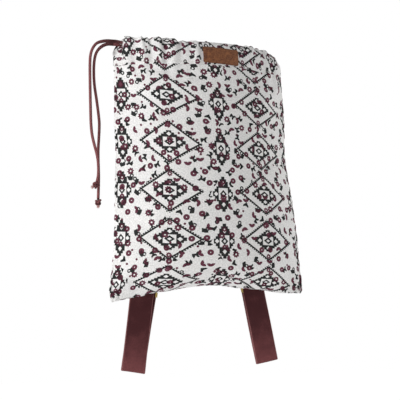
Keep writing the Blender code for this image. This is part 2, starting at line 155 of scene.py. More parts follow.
def run_lengths(points: Sequence[Vector]) -> list[float]:
    """How far along a line of points each of them lies.

    Args:
        points: the line.

    Returns:
        One length for each point, starting with 0.
    """
    runs = [0.0]
    for a, b in zip(points, points[1:]):
        runs.append(runs[-1] + (b - a).length)
    return runs


def smooth_route(points: Iterable[Sequence[float]], spacing: float) -> list[Vector]:
    """Evenly spaced points on a smooth curve through a route's own points.

    Args:
        points: the route's points, in order.
        spacing: the distance wanted between neighbours.

    Returns:
        Points along the curve, both ends included.
    """
    knots = [Vector(p) for p in points]
    dense: list[Vector] = []
    for i in range(len(knots) - 1):
        before, here = knots[max(i - 1, 0)], knots[i]
        ahead, after = knots[i + 1], knots[min(i + 2, len(knots) - 1)]
        dense += [hermite(before, here, ahead, after, k / 12) for k in range(12)]
    dense.append(knots[-1])
    lengths = run_lengths(dense)
    count = max(2, round(lengths[-1] / spacing) + 1)
    placed, j = [], 0
    for i in range(count):
        target = lengths[-1] * i / (count - 1)
        while j < len(lengths) - 2 and lengths[j + 1] < target:
            j += 1
        share = (target - lengths[j]) / max(lengths[j + 1] - lengths[j], 1e-9)
        placed.append(dense[j].lerp(dense[j + 1], share))
    return placed


def route_length(points: Sequence[Vector]) -> float:
    """Length of a line of points."""
    return run_lengths(points)[-1]


# Shader helpers


@dataclass
class Field:
    """A number that varies over a surface, kept as a socket of a node tree."""

    tree: bpy.types.NodeTree
    socket: Socket

    def math(self, operation: str, *others: "Field | float") -> "Field":
        """Joins this number and others in one Math node.

        Args:
            operation: the Math node's operation.
            others: fields or plain numbers for its other inputs.

        Returns:
            The node's result.
        """
        node = self.tree.nodes.new("ShaderNodeMath")
        node.operation = operation
        self.tree.links.new(self.socket, node.inputs[0])
        for slot, other in zip(node.inputs[1:], others):
            if isinstance(other, Field):
                self.tree.links.new(other.socket, slot)
            else:
                slot.default_value = other
        return Field(self.tree, node.outputs[0])

    def __add__(self, other: "Field | float") -> "Field":
        """Sum."""
        return self.math("ADD", other)

    def __sub__(self, other: "Field | float") -> "Field":
        """Difference."""
        return self.math("SUBTRACT", other)

    def __mul__(self, other: "Field | float") -> "Field":
        """Product."""
        return self.math("MULTIPLY", other)

    def __truediv__(self, other: "Field | float") -> "Field":
        """Quotient."""
        return self.math("DIVIDE", other)

    def __abs__(self) -> "Field":
        """Distance from zero."""
        return self.math("ABSOLUTE")

    def below(self, other: "Field | float") -> "Field":
        """1 where this is less than the other, else 0."""
        return self.math("LESS_THAN", other)

    def above(self, other: "Field | float") -> "Field":
        """1 where this is more than the other, else 0."""
        return self.math("GREATER_THAN", other)

    def either(self, *others: "Field | float") -> "Field":
        """The largest of several, which joins masks.

        Args:
            others: the others.

        Returns:
            The joined mask.
        """
        made = self
        for other in others:
            made = made.math("MAXIMUM", other)
        return made

    def without(self, other: "Field") -> "Field":
        """This mask where the other isn't."""
        return self.math("SUBTRACT", other).math("MAXIMUM", 0.0)

    def held(self) -> "Field":
        """This number, held between 0 and 1."""
        return self.math("MAXIMUM", 0.0).math("MINIMUM", 1.0)

    def wrapped(self, period: float) -> "Field":
        """Repeats this number over a period, from minus to plus half of it."""
        return self.math("WRAP", period / 2, -period / 2)

    def stepped(self, step: float) -> "Field":
        """This number in steps, at each step's middle."""
        return (self.math("DIVIDE", step).math("FLOOR") + 0.5) * step


@dataclass
class Finish:
    """A material under construction, and short ways to add its nodes."""

    name: str
    colour: Colour
    roughness: float
    sheen: float = 0.0
    specular: float = 0.5
    material: Material = field(init=False, repr=False)
    tree: bpy.types.NodeTree = field(init=False, repr=False)

    def __post_init__(self) -> None:
        """Starts the material, with its constants on the shader's own sockets."""
        self.material = bpy.data.materials.new(self.name)
        self.material.use_nodes = True
        self.tree = self.material.node_tree
        shader = self.shader
        shader.inputs["Base Color"].default_value = (*self.colour, 1.0)
        shader.inputs["Roughness"].default_value = self.roughness
        shader.inputs["Sheen Weight"].default_value = self.sheen
        shader.inputs["Specular IOR Level"].default_value = self.specular

    @property
    def shader(self) -> bpy.types.ShaderNode:
        """The material's one Principled shader."""
        return self.tree.nodes["Principled BSDF"]

    def coordinates(self, output: str) -> Socket:
        """Where on the surface a point is.

        Args:
            output: "UV" for the piece's own map, or "Object" for the place in space.

        Returns:
            The vector socket.
        """
        node = self.tree.nodes.get("Coordinates") or self.tree.nodes.new("ShaderNodeTexCoord")
        node.name = "Coordinates"
        return node.outputs[output]

    def parts(self, vector: Socket) -> tuple[Field, Field, Field]:
        """The three numbers of a vector.

        Args:
            vector: the vector's socket.

        Returns:
            The numbers, in order.
        """
        node = self.tree.nodes.new("ShaderNodeSeparateXYZ")
        self.tree.links.new(vector, node.inputs[0])
        return tuple(Field(self.tree, out) for out in node.outputs)

    def vector(self, *numbers: "Field | float") -> Socket:
        """A vector of up to three numbers.

        Args:
            numbers: fields or plain numbers.

        Returns:
            The vector's socket.
        """
        node = self.tree.nodes.new("ShaderNodeCombineXYZ")
        for slot, number in zip(node.inputs, numbers):
            if isinstance(number, Field):
                self.tree.links.new(number.socket, slot)
            else:
                slot.default_value = number
        return node.outputs[0]

    def noise(self, vector: Socket, scale: float, detail: float = 3.0) -> Field:
        """Soft cloudy noise, from 0 to 1.

        Args:
            vector: where it is read.
            scale: how fine it is.
            detail: how many finer layers it has.

        Returns:
            The noise.
        """
        node = self.tree.nodes.new("ShaderNodeTexNoise")
        node.inputs["Scale"].default_value = scale
        node.inputs["Detail"].default_value = detail
        self.tree.links.new(vector, node.inputs["Vector"])
        return Field(self.tree, node.outputs[0])

    def mixed(self, share: Field, low: Socket | Colour, high: Socket | Colour) -> Socket:
        """Blends two colours.

        Args:
            share: 0 for the first colour, 1 for the second.
            low: the first colour.
            high: the second colour.

        Returns:
            The blended colour.
        """
        node = self.tree.nodes.new("ShaderNodeMix")
        node.data_type = "RGBA"
        self.tree.links.new(share.socket, node.inputs["Factor"])
        for slot, value in ((node.inputs[6], low), (node.inputs[7], high)):
            if isinstance(value, tuple):
                slot.default_value = (*value, 1.0)
            else:
                self.tree.links.new(value, slot)
        return node.outputs[2]

    def shades(self, share: Field, dark: float, light: float) -> Field:
        """Turns a 0 to 1 number into a brightness between two values.

        Args:
            share: the number.
            dark: the value at 0.
            light: the value at 1.

        Returns:
            The brightness.
        """
        node = self.tree.nodes.new("ShaderNodeMapRange")
        self.tree.links.new(share.socket, node.inputs[0])
        node.inputs[3].default_value, node.inputs[4].default_value = dark, light
        return Field(self.tree, node.outputs[0])

    def scaled(self, colour: Socket, brightness: Field) -> Socket:
        """A colour made lighter or darker by a field.

        Args:
            colour: the colour's socket.
            brightness: what it is multiplied by.

        Returns:
            The new colour's socket.
        """
        node = self.tree.nodes.new("ShaderNodeVectorMath")
        node.operation = "SCALE"
        self.tree.links.new(colour, node.inputs[0])
        self.tree.links.new(brightness.socket, node.inputs["Scale"])
        return node.outputs[0]

    def paint(self, colour: Socket) -> None:
        """Gives the shader its colour."""
        self.tree.links.new(colour, self.shader.inputs["Base Color"])

    def relief(self, height: Field, strength: float, distance: float) -> None:
        """Raises fine detail that is too small for the mesh.

        Args:
            height: the detail, from 0 to 1.
            strength: how much of it shows.
            distance: the height of 1, in metres.
        """
        node = self.tree.nodes.new("ShaderNodeBump")
        node.inputs["Strength"].default_value = strength
        node.inputs["Distance"].default_value = distance
        self.tree.links.new(height.socket, node.inputs["Height"])
        self.tree.links.new(node.outputs[0], self.shader.inputs["Normal"])


def seen_directly(tree: bpy.types.NodeTree) -> Field:
    """1 for rays that the camera sends out, straight, mirrored or through glass, else 0.

    Args:
        tree: the node tree of a material or the world.

    Returns:
        The mask.
    """
    path = tree.nodes.new("ShaderNodeLightPath")
    camera, glossy, through = (
        Field(tree, path.outputs[f"Is {kind} Ray"]) for kind in ("Camera", "Glossy", "Transmission")
    )
    return camera.either(glossy, through)


# Motifs of the print, in millimetres of cloth


def diamond_mask(x: Field, y: Field, wide: float, high: float) -> Field:
    """1 inside a diamond."""
    return (abs(x) / wide + abs(y) / high).below(1.0)


def distance(x: Field, y: Field) -> Field:
    """Distance from a motif's middle."""
    return (x * x + y * y).math("SQRT")


def ring(x: Field, y: Field, radius: float, width: float) -> Field:
    """1 on a ring."""
    return abs(distance(x, y) - radius).below(width)


@dataclass(frozen=True)
class SteppedMotif:
    """A stepped lozenge with five white windows round an eye with a white pupil."""

    half: Pair
    step: Pair
    middle_window: Pair
    side_window: tuple[float, float, float]
    end_window: tuple[float, float, float]
    eye: Pair
    pupil: Pair

    def ink(self, x: Field, y: Field) -> Field:
        """The motif's mask.

        Args:
            x: distance to the side of its middle.
            y: distance above or below its middle.

        Returns:
            1 where it is inked.
        """
        sideways, upwards = x.stepped(self.step[0]), y.stepped(self.step[1])
        mass = (sideways / self.half[0] + upwards / self.half[1]).below(1.0)
        beside, wide, high = self.side_window
        above, end_wide, end_high = self.end_window
        windows = (x.below(self.middle_window[0]) * y.below(self.middle_window[1])).either(
            diamond_mask(x - beside, y, wide, high), diamond_mask(x, y - above, end_wide, end_high)
        )
        eye = diamond_mask(x, y, *self.eye).without(diamond_mask(x, y, *self.pupil))
        return mass.without(windows).either(eye)


@dataclass(frozen=True)
class Strewing:
    """A loose, leaning grid of cells that each hold one small motif."""

    slant: float
    seed: float


# Finishes


@dataclass(frozen=True)
class PrintedCanvas:
    """Off-white canvas with a woven-rug print in black and maroon, in millimetres of cloth.

    Serrated diamonds stand in columns between columns of narrow stepped lozenges, over a
    ground of small scattered rings, beans, flowers, dots and twigs.
    """

    cloth: Colour = (0.80, 0.79, 0.78)
    dulled: Colour = (0.75, 0.74, 0.73)
    black: Colour = (0.006, 0.007, 0.007)
    maroon: Colour = (0.100, 0.011, 0.032)
    cloud_scale: float = 0.03
    slub_scale: float = 1.6
    slub_stretch: float = 0.25
    slub: Pair = (0.88, 1.10)
    grain_scale: float = 0.45
    grain: Pair = (0.58, 1.42)
    wear_scale: float = 2.2
    wear: Pair = (0.84, 1.12)
    black_cover: float = 0.98
    maroon_cover: float = 0.96
    lost_on_black: float = 0.50
    weave_height: float = 0.00022
    column_pitch: float = 84.5
    row_pitch: float = 80.0
    row_skew: float = 0.033
    lozenge_drop: float = 3.0
    diamond: Pair = (52.0, 35.3)
    diamond_line: float = 0.905
    teeth: float = 7.0
    tooth_gap: float = 0.42
    tooth_height: float = 0.055
    medallion: SteppedMotif = SteppedMotif(
        half=(30.6, 21.0), step=(4.6, 3.1), middle_window=(11.0, 7.5), side_window=(17.2, 4.5, 3.7),
        end_window=(12.9, 4.4, 3.4), eye=(9.0, 6.0), pupil=(4.0, 2.5),
    )
    lozenge: SteppedMotif = SteppedMotif(
        half=(18.8, 32.6), step=(2.9, 4.3), middle_window=(8.0, 10.3), side_window=(12.2, 3.6, 4.0),
        end_window=(18.0, 3.5, 4.5), eye=(6.0, 7.2), pupil=(2.5, 3.2),
    )
    heart: tuple[float, float, float] = (10.5, 2.7, 1.6)
    lozenge_flower: float = 20.5
    diamond_flower: float = 8.0
    twig_margins: Pair = (1.04, 1.12)
    flower_petals: float = 8.0
    flower_radius: float = 4.2
    flower_notch: float = 0.6
    flower_eye: float = 1.2
    bean: Pair = (4.9, 2.4)
    bean_bow: float = 0.075
    small_ring: Pair = (2.3, 1.6)
    dot_radius: float = 1.7
    scatter_pitch: Pair = (21.5, 22.0)
    scatter_size: float = 1.32
    scatter_sway: float = 11.0
    petal_strewing: Strewing = Strewing(slant=0.21, seed=3.0)
    dot_strewing: Strewing = Strewing(slant=0.48, seed=11.0)
    twig_strewing: Strewing = Strewing(slant=-0.30, seed=7.0)
    thread_pitch: float = 0.9

    def build(self) -> Material:
        """Makes the canvas, whose UV map is in metres of flat cloth.

        Returns:
            The material.
        """
        made = Finish("printed_canvas", self.cloth, 0.92, sheen=0.02, specular=0.04)
        u, v, _ = made.parts(made.coordinates("UV"))
        across, up = u * 1000.0, v * 1000.0
        black, maroon = self.motifs(made, across, up)
        place = made.vector(across, up)
        tone = made.mixed(made.noise(place, self.cloud_scale, 4.0), self.dulled, self.cloth)
        slub = made.noise(made.vector(across * self.slub_stretch, up), self.slub_scale, 2.0)
        grain = made.shades(made.noise(place, self.grain_scale, 2.0), *self.grain)
        ground = made.scaled(tone, made.shades(slub, *self.slub) * grain)
        # Patchy wear of the ink.
        wear_and_painted_light = made.shades(made.noise(place, self.wear_scale, 2.0), *self.wear)
        inked = made.mixed((black * wear_and_painted_light).math("MINIMUM", self.black_cover), ground, self.black)
        cover = black * -self.lost_on_black + self.maroon_cover
        made.paint(made.mixed(maroon * cover, inked, self.maroon))
        made.relief(self.weave(across, up), 0.5, self.weave_height)
        return made.material

    def weave(self, across: Field, up: Field) -> Field:
        """Plain weave: threads that pass over and under each other.

        Args:
            across: millimetres across the cloth.
            up: millimetres up the cloth.

        Returns:
            The height, from 0 to 1.
        """
        turn = math.tau / self.thread_pitch
        warp = (across * turn).math("SINE")
        weft = (up * turn).math("SINE")
        return (warp * weft) * 0.25 + (abs(warp) + abs(weft)) * 0.2 + 0.3

    def motifs(self, made: Finish, across: Field, up: Field) -> tuple[Field, Field]:
        """The whole print.

        Args:
            made: the finish under construction.
            across: millimetres across the cloth.
            up: millimetres up the cloth.

        Returns:
            The masks of the black and the maroon ink.
        """
        level = up + across * self.row_skew
        x = abs((across + self.column_pitch).wrapped(2 * self.column_pitch))
        y = abs(level.wrapped(self.row_pitch))
        narrow_x = (x * -1.0) + self.column_pitch
        drop = (level + self.lozenge_drop).wrapped(self.row_pitch)
        narrow_y = abs(drop)
        black = self.big_diamond(x, y).either(
            self.medallion.ink(x, y), self.lozenge.ink(narrow_x, narrow_y)
        )
        heart_drop, radius, width = self.heart
        hearts = ring(narrow_x, drop + heart_drop, radius, width).either(
            self.flower(narrow_x, drop - self.lozenge_flower),
            self.flower(x, y - self.diamond[1] + self.diamond_flower),
        )
        clear = self.clear_of_black(x, y, narrow_x, narrow_y)
        return (
            black.either(self.twigs(made, across, up) * clear),
            hearts.either(self.petals(made, across, up)),
        )

    def clear_of_black(self, x: Field, y: Field, narrow_x: Field, narrow_y: Field) -> Field:
        """1 outside the diamonds and the lozenges, so that twigs don't run into them.

        Args:
            x: distance to the side of a diamond's middle.
            y: distance above or below it.
            narrow_x: distance to the side of a lozenge's middle.
            narrow_y: distance above or below it.

        Returns:
            The mask.
        """
        past_diamond, past_lozenge = self.twig_margins
        wide, high = self.lozenge.half
        outside = (x / self.diamond[0] + y / self.diamond[1]).above(past_diamond)
        return outside * (narrow_x / wide + narrow_y / high).above(past_lozenge)

    def flower(self, x: Field, y: Field) -> Field:
        """1 on a small flower with a bare middle.

        Args:
            x: distance to the side of its middle.
            y: distance above its middle.

        Returns:
            The mask.
        """
        far = distance(x, y)
        lobes = (y.math("ARCTAN2", x) * self.flower_petals).math("COSINE") * self.flower_notch
        return (lobes + self.flower_radius).above(far) * far.above(self.flower_eye)

    def big_diamond(self, x: Field, y: Field) -> Field:
        """The outline with square teeth outside.

        Args:
            x: distance to the side of its middle.
            y: distance above or below its middle.

        Returns:
            The mask.
        """
        wide, high = self.diamond
        out = x / wide + y / high
        teeth = ((x / wide - y / high) * self.teeth).math("FRACT").above(self.tooth_gap)
        return out.below(teeth * self.tooth_height + 1.0) * out.above(self.diamond_line)

    def strewn(
        self, made: Finish, across: Field, up: Field, grid: Strewing
    ) -> tuple[Field, Field, Field, Field]:
        """Strews one motif into each cell of a loose grid.

        Args:
            made: the finish under construction.
            across: millimetres across the cloth.
            up: millimetres up the cloth.
            grid: how far the grid leans, so that its rows don't show, and what picks its motifs.

        Returns:
            Millimetres across and up from the middle of the cell's motif, and two random
            numbers that pick its kind and its turn.
        """
        wide, high = self.scatter_pitch
        column, row = (across + up * grid.slant) / wide, (up - across * grid.slant) / high
        cell_x, cell_y = column.math("FLOOR"), row.math("FLOOR")
        chance = made.tree.nodes.new("ShaderNodeTexWhiteNoise")
        made.tree.links.new(made.vector(cell_x, cell_y, grid.seed), chance.inputs["Vector"])
        shift_x, shift_y, kind = made.parts(chance.outputs["Color"])
        turn = Field(made.tree, chance.outputs["Value"])
        x = (column - cell_x - 0.5) * wide - (shift_x - 0.5) * self.scatter_sway
        y = (row - cell_y - 0.5) * high - (shift_y - 0.5) * self.scatter_sway
        return x / self.scatter_size, y / self.scatter_size, kind, turn

    @staticmethod
    def turned(x: Field, y: Field, angle: Field) -> tuple[Field, Field]:
        """Turns a motif's own axes."""
        sine, cosine = angle.math("SINE"), angle.math("COSINE")
        return x * cosine + y * sine, y * cosine - x * sine

    @staticmethod
    def picked(kind: Field, low: float, high: float, motif: Field) -> Field:
        """A motif in the cells whose random number is in a range."""
        return kind.above(low) * kind.below(high) * motif

    def petals(self, made: Finish, across: Field, up: Field) -> Field:
        """The maroon scatter: rings, beans and flowers, with dots between.

        Args:
            made: the finish under construction.
            across: millimetres across the cloth.
            up: millimetres up the cloth.

        Returns:
            The mask.
        """
        x, y, kind, turn = self.strewn(made, across, up, self.petal_strewing)
        quarter = (turn * 4.0).math("FLOOR") * (math.pi / 2) + (turn - 0.5) * 0.5
        along_x, along_y = self.turned(x, y, quarter)
        bow = along_y - along_x * along_x * self.bean_bow + 0.7
        bean = distance(along_x / self.bean[0], bow / self.bean[1]).below(1.0)
        bean = bean.without(diamond_mask(along_x, bow - 2.6, 1.2, 1.3))
        motif = self.picked(kind, -0.1, 0.40, ring(x, y, *self.small_ring)).either(
            self.picked(kind, 0.40, 0.82, bean), self.picked(kind, 0.82, 1.1, self.flower(x, y))
        )
        dot_x, dot_y, dot_kind, _ = self.strewn(made, across, up, self.dot_strewing)
        dot = distance(dot_x, dot_y).below(self.dot_radius)
        return motif.either(self.picked(dot_kind, 0.70, 1.1, dot))

    def twigs(self, made: Finish, across: Field, up: Field) -> Field:
        """The black scatter: twigs, looped sprigs and pairs of leaves.

        Args:
            made: the finish under construction.
            across: millimetres across the cloth.
            up: millimetres up the cloth.

        Returns:
            The mask.
        """
        x, y, kind, turn = self.strewn(made, across, up, self.twig_strewing)
        x, y = self.turned(x, y, turn * math.tau)
        side = abs(x)
        stem = side.below(1.35) * abs(y + 1.4).below(3.0)
        twig = stem.either(
            abs(y - side * side * 0.13 - 1.4).below(1.45) * side.below(3.9),
            diamond_mask(x - 1.8, y + 2.4, 3.4, 2.0),
        )
        loops = ring(x - 0.4, y - 3.8, 2.0, 0.85).either(
            diamond_mask(x + 0.6, y + 1.2, 4.4, 3.4), diamond_mask(x - 2.6, y - 0.6, 2.6, 2.2)
        )
        leaves = (side * -0.30 + 2.6).above(abs(y - side * 0.75 + 1.2)) * side.below(4.4)
        return self.picked(kind, 0.20, 0.52, twig).either(
            self.picked(kind, 0.52, 0.80, loops), self.picked(kind, 0.80, 1.1, leaves)
        )


@dataclass(frozen=True)
class BraidedCord:
    """Round braided cotton cord. Its UV map runs round (0 to 1) and along (in metres)."""

    dark: Colour = (0.100, 0.027, 0.030)
    light: Colour = (0.260, 0.098, 0.100)
    strands_round: float = 8.0
    strand_length: float = 0.0060
    # painted shade: the reach from the casing's exit over which the cord's colour is darkened
    exit_shade_reach: float = 0.042
    # painted shade: the colour's scale at the exit and beyond that reach
    painted_shading: Pair = (0.26, 1.06)
    fluff_scale: float = 900.0
    strand_height: float = 0.0006

    def build(self) -> Material:
        """Makes the cord, with painted shade that darkens it near the casing's exit.

        Returns:
            The material.
        """
        made = Finish("maroon_cord", self.dark, 0.85, sheen=0.05, specular=0.15)
        around, along_it, _ = made.parts(made.coordinates("UV"))
        a = around * (math.tau * self.strands_round / 2)
        b = along_it * (math.tau / self.strand_length)
        one, other = (a + b).math("SINE"), (a - b).math("SINE")
        strand = one.math("MAXIMUM", other) * 0.5 + 0.5
        fluff = made.noise(made.coordinates("Object"), self.fluff_scale, 2.0)
        # Painted shade in the braid's grooves: the colour follows the strands' height, darker between
        # them and lighter on their crests, with random fluff tone.
        braid = made.mixed(strand * 0.85 + (fluff - 0.5) * 0.7, self.dark, self.light)
        # Painted shade: the colour is darkened near the casing's exit and brightens along the cord.
        made.paint(made.scaled(braid, made.shades(along_it / self.exit_shade_reach, *self.painted_shading)))
        made.relief(strand + fluff * 0.2, 0.8, self.strand_height)
        return made.material


@dataclass(frozen=True)
class Webbing:
    """Flat woven webbing. Its UV map runs across and along, in metres."""

    dark: Colour = (0.054, 0.0135, 0.0155)
    light: Colour = (0.158, 0.049, 0.051)
    # painted highlight: the colour of the lighter band along the strap's edges
    edge: Colour = (0.230, 0.098, 0.098)
    rib: float = 0.0016
    warp_pitch: float = 0.0011
    zigzag: float = 0.005
    middle: float = 0.021
    # painted highlight: width of the lighter band along each edge
    edge_highlight: float = 0.0014
    fold_at: float = 0.515
    fold_reach: float = 0.075
    # painted light: added to the colour share, high at the fold and low up the strap where the bag
    # shades it
    fold_light: Pair = (0.80, -0.20)
    # painted light: how much lighter the left strap and darker the right one is painted, as lit from
    # the left lamp
    painted_shading: float = 1.35
    cloud_scale: float = 42.0
    fluff_scale: float = 420.0
    rib_height: float = 0.0004

    def build(self) -> Material:
        """Makes the webbing, with painted light: darker up the strap in the bag's shade, lighter
        towards its hanging fold, and the left strap painted lighter as it faces the left lamp.

        Returns:
            The material.
        """
        made = Finish("maroon_webbing", self.dark, 0.85, sheen=0.05, specular=0.12)
        across, along_it, _ = made.parts(made.coordinates("UV"))
        place = made.coordinates("Object")
        zig = (across / self.zigzag).math("PINGPONG", 1.0) * self.zigzag
        twill = ((along_it + zig) * (math.tau / self.rib)).math("SINE") * 0.5 + 0.5
        ribs = (across * (math.tau / self.warp_pitch)).math("SINE") * 0.5 + 0.5
        cloud = made.noise(place, self.cloud_scale, 5.0)
        fine = made.noise(place, self.fluff_scale, 3.0)
        # Painted light: lighter at the fold, darker up the strap where the bag shades it.
        wear_and_painted_light = made.shades(abs(along_it - self.fold_at) / self.fold_reach, *self.fold_light)
        # Painted light from the left lamp: the left strap is painted lighter near its fold, the right
        # one darker.
        left_lamp_light = made.parts(place)[0] * (wear_and_painted_light - self.fold_light[1]) * -self.painted_shading
        share = (cloud - 0.42) * 1.2 + (fine - 0.5) * 0.6 + twill * 0.18 + wear_and_painted_light + left_lamp_light
        woven = made.mixed(share.held(), self.dark, self.light)
        # Painted highlight: a lighter band along both edges of the webbing.
        edge_highlight = abs(across - self.middle).above(self.middle - self.edge_highlight)
        made.paint(made.mixed(edge_highlight * (fine * 0.8 + 0.4), woven, self.edge))
        made.relief(twill * 0.6 + ribs * 0.4 + fine * 0.3, 0.55, self.rib_height)
        return made.material


@dataclass(frozen=True)
class PatchLeather:
    """Bare brown leather with a fine grain and edges darkened by handling."""

    face: Colour = (0.245, 0.092, 0.035)
    edge: Colour = (0.078, 0.027, 0.013)
    cloud_scale: float = 130.0
    mottle_scale: float = 420.0
    pore_scale: float = 1500.0
    grain_height: float = 0.0003

    def build(self) -> Material:
        """Makes the leather. Its UV map is in shares of the patch, from -1 to 1.

        Returns:
            The material.
        """
        made = Finish("tan_leather", self.face, 0.62, specular=0.25)
        across, up, _ = made.parts(made.coordinates("UV"))
        place = made.coordinates("Object")
        rim = abs(across).math("POWER", 14.0).either(abs(up).math("POWER", 7.0))
        cloud = made.noise(place, self.cloud_scale, 5.0)
        mottle = made.noise(place, self.mottle_scale, 3.0)
        pores = made.tree.nodes.new("ShaderNodeTexVoronoi")
        pores.inputs["Scale"].default_value = self.pore_scale
        made.tree.links.new(place, pores.inputs["Vector"])
        grain = Field(made.tree, pores.outputs["Distance"])
        share = rim * 0.25 + (cloud - 0.46) * 1.7 + (mottle - 0.5) * 2.2 + 0.40
        made.paint(made.mixed(share.held(), self.face, self.edge))
        made.relief(grain * 0.6 + cloud * 0.4, 0.45, self.grain_height)
        return made.material


@dataclass(frozen=True)
class SewingThread:
    """Twisted sewing thread of one colour."""

    name: str
    dark: Colour
    light: Colour
    fibre_scale: float = 2600.0
    fibre_height: float = 0.0002

    def build(self) -> Material:
        """Makes the thread.

        Returns:
            The material.
        """
        made = Finish(self.name, self.dark, 0.75, sheen=0.1, specular=0.3)
        fibre = made.noise(made.coordinates("Object"), self.fibre_scale, 2.0)
        made.paint(made.mixed(fibre, self.dark, self.light))
        made.relief(fibre, 0.5, self.fibre_height)
        return made.material


@dataclass
class Finishes:
    """Every finish of the bag, each made once."""

    canvas: Material = field(default_factory=PrintedCanvas().build)
    cord: Material = field(default_factory=BraidedCord().build)
    fluff: Material = field(
        default_factory=SewingThread("cord_fluff", (0.46, 0.24, 0.23), (0.72, 0.50, 0.47)).build
    )
    webbing: Material = field(default_factory=Webbing().build)
    leather: Material = field(default_factory=PatchLeather().build)
    white_thread: Material = field(
        default_factory=SewingThread("white_thread", (0.52, 0.49, 0.46), (0.78, 0.75, 0.72)).build
    )
    dark_thread: Material = field(
        default_factory=SewingThread("maroon_thread", (0.06, 0.018, 0.020), (0.16, 0.05, 0.055)).build
    )
    brown_thread: Material = field(
        default_factory=SewingThread("brown_thread", (0.10, 0.042, 0.020), (0.24, 0.11, 0.055)).build
    )
    ochre_thread: Material = field(
        default_factory=SewingThread("ochre_thread", (0.36, 0.25, 0.06), (0.62, 0.48, 0.16)).build
    )


# The bag's form


